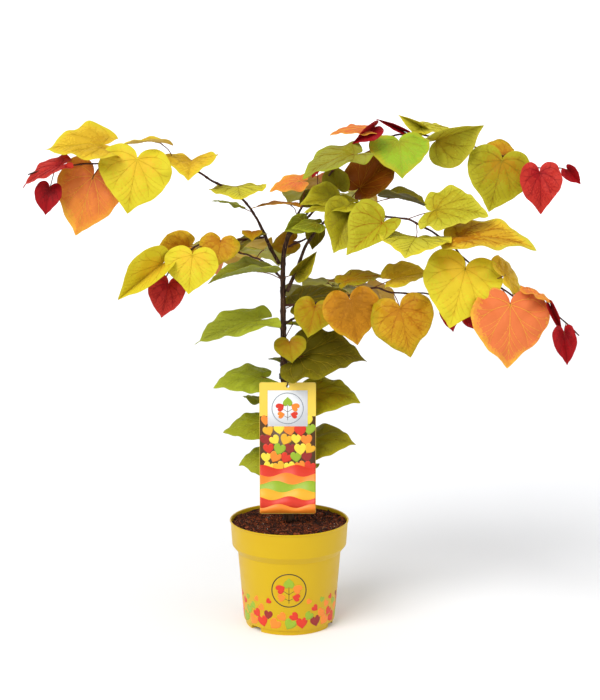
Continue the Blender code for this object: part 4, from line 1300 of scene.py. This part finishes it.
# The hang tag is a glossy yellow card. Its print is a white panel with a sprig, a field of heart leaves,
# and plain wavy bands below.
card = grained("yellow_card", (0.86, 0.60, 0.07), 0.36, 0.4, 800, 2, 0.02)
feed(card, "Base Color", mixed(card, noisy(card, 25, 2), (0.85, 0.59, 0.06), (0.88, 0.63, 0.09)))
hang_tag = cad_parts["hang_tag"]
hang_tag.data.materials.clear()
hang_tag.data.materials.append(card)
low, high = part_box("hang_tag")
TAG_WIDTH = high.x - low.x
TAG_HEIGHT = high.z - low.z
PRINT_WIDTH = TAG_WIDTH - 1.0 * MM
FIELD_FOOT = 0.004 * TAG_HEIGHT
FIELD_TOP = 0.745 * TAG_HEIGHT
PANEL_WIDTH, PANEL_HEIGHT = 62 * MM, 57 * MM
PANEL_MIDDLE = TAG_HEIGHT - 41 * MM
PANEL_LEVEL, RING_LEVEL = 3.6 * INK, 4.6 * INK
PANEL_RING = 25 * MM
HEART_ROWS, HEART_COLUMNS = 6, 5
HEART_SIZE = 15.5 * MM
HEART_MARGIN = 0.66 * HEART_SIZE
HEART_SPACING = 0.94 * TAG_WIDTH / HEART_COLUMNS
HEART_INKS = ("orange", "yellow", "red", "gold", "green", "yellow", "maroon")
BAND_TOP = 0.36 * TAG_HEIGHT
BAND_WAVE = (3.2 * MM, 8.5 * MM, 1.9)
BANDS = ("red", "orange", "green", "gold", "red", "orange")
TAG_INKS = ("umber", "white", "grey", "green", "red", "orange", "yellow", "gold", "maroon")
slot_of = {ink: number for number, ink in enumerate(TAG_INKS)}
draw = random.Random("tag print")
bm = bmesh.new()
field = block_stamp(PRINT_WIDTH, FIELD_TOP - FIELD_FOOT)
stamped(bm, field, onto_card, (0, (FIELD_FOOT + FIELD_TOP) / 2), 1, 0, slot_of["umber"])
top = FIELD_TOP - 0.5 * HEART_SIZE
for row in range(HEART_ROWS):
    for column in range(HEART_COLUMNS):
        across = (column - (HEART_COLUMNS - 1) / 2 + (0.2 if row % 2 else -0.2)) * HEART_SPACING
        across = max(HEART_MARGIN - TAG_WIDTH / 2, min(TAG_WIDTH / 2 - HEART_MARGIN, across))
        up = top - (top - BAND_TOP) * row / (HEART_ROWS - 1) + draw.uniform(-1.5, 1.5) * MM
        size, turn = HEART_SIZE * draw.uniform(0.8, 1.0), draw.uniform(-35, 35)
        ink = HEART_INKS[(row * 3 + column * 2) % len(HEART_INKS)]
        layer = 1 + 0.4 * (row % 2) + 0.8 * (column % 2)
        stamped(bm, heart_stamp(), onto_card, (across, up), size, turn, slot_of[ink], layer * INK)
for number, ink in enumerate(BANDS):
    shape = block_stamp(PRINT_WIDTH, 1, 40)
    swing, length, shift = BAND_WAVE
    for vertex in shape.verts:
        wave = swing * math.sin(vertex.co.x / length + shift * number)
        top = BAND_TOP * (1 - number / len(BANDS)) + wave
        vertex.co.y = top if vertex.co.y > 0 else FIELD_FOOT
    stamped(bm, shape, onto_card, (0, 0), 1, 0, slot_of[ink], PANEL_LEVEL + 0.25 * number * INK)
panel = block_stamp(PANEL_WIDTH, PANEL_HEIGHT)
stamped(bm, panel, onto_card, (0, PANEL_MIDDLE), 1, 0, slot_of["white"], PANEL_LEVEL)
stamped(bm, ring_stamp(0.95), onto_card, (0, PANEL_MIDDLE), PANEL_RING, 0, slot_of["grey"], RING_LEVEL)
sprig_printed(bm, onto_card, PANEL_MIDDLE, 0.88 * MM, slot_of, "umber", RING_LEVEL)
tag_print = shown("tag_print", bm, *inks(*TAG_INKS))
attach(tag_print, "root")


# The tag hangs from a black plastic tie: a flat band wound round the trunk, and a thin loop that comes over
# the card's top edge and back through its punched hole.
TIE_RADIUS = 1.0 * MM
TIE_HEIGHT = 401 * MM
TAG_HOLE_DROP = 6 * MM
TAG_HOLE_RADIUS = 2.6 * MM
LOOP_STEPS = 10
BAND_TURNS, BAND_STEPS = 3, 28
BAND_FOOT, BAND_RISE = 4 * MM, 9 * MM
BAND_RADIUS = 1.5 * TIE_RADIUS
axis, _, girth = limb_at(limbs["trunk"], TIE_HEIGHT)
ring = girth + GAP + TIE_RADIUS
strand_height = high.z - TAG_HOLE_DROP + TAG_HOLE_RADIUS - TIE_RADIUS - GAP
over = high.z + TIE_RADIUS + GAP
card_x, card_y = (low.x + high.x) / 2, (low.y + high.y) / 2
loop = [Vector((axis.x + ring * math.cos(turn), axis.y + ring * math.sin(turn), TIE_HEIGHT))
        for turn in np.radians((0, 45, 90, 135, 180))]
loop += [
    Vector((axis.x - 0.7 * ring, (axis.y + card_y) / 2, TIE_HEIGHT + TIE_RADIUS)),
    Vector((card_x, card_y, over + TIE_RADIUS / 2)),
    Vector((card_x, card_y - 4 * TIE_RADIUS, (over + strand_height) / 2)),
    Vector((card_x, card_y, strand_height)),
    Vector((axis.x + 0.8 * ring, (axis.y + card_y) / 2, TIE_HEIGHT - 3 * TIE_RADIUS)),
]
rounded = []
for index in range(len(loop)):
    stretch = [loop[(index + offset) % len(loop)] for offset in (-1, 0, 1, 2)]
    rounded += [between(*stretch, step / LOOP_STEPS) for step in range(LOOP_STEPS)]
bm = strands("tie", [(rounded + rounded[:2], [TIE_RADIUS] * (len(rounded) + 2), 0)], 3)
wound = []
radius = girth + BAND_RADIUS
for step in range(BAND_TURNS * BAND_STEPS + 1):
    turn = math.tau * step / BAND_STEPS
    height = TIE_HEIGHT - BAND_FOOT + BAND_RISE * step / (BAND_TURNS * BAND_STEPS)
    wound.append(Vector((axis.x + radius * math.cos(turn), axis.y + radius * math.sin(turn), height)))
joined(bm, strands("band", [(wound, [BAND_RADIUS] * len(wound), 0)], 3))
tie_black = grained("black_polyethylene", (0.012, 0.012, 0.013), 0.42, 0.5, 500, 2, 0.1)
tie = shown("tie_strand", bm, tie_black)
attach(tie, "root")
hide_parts("tag_tie")
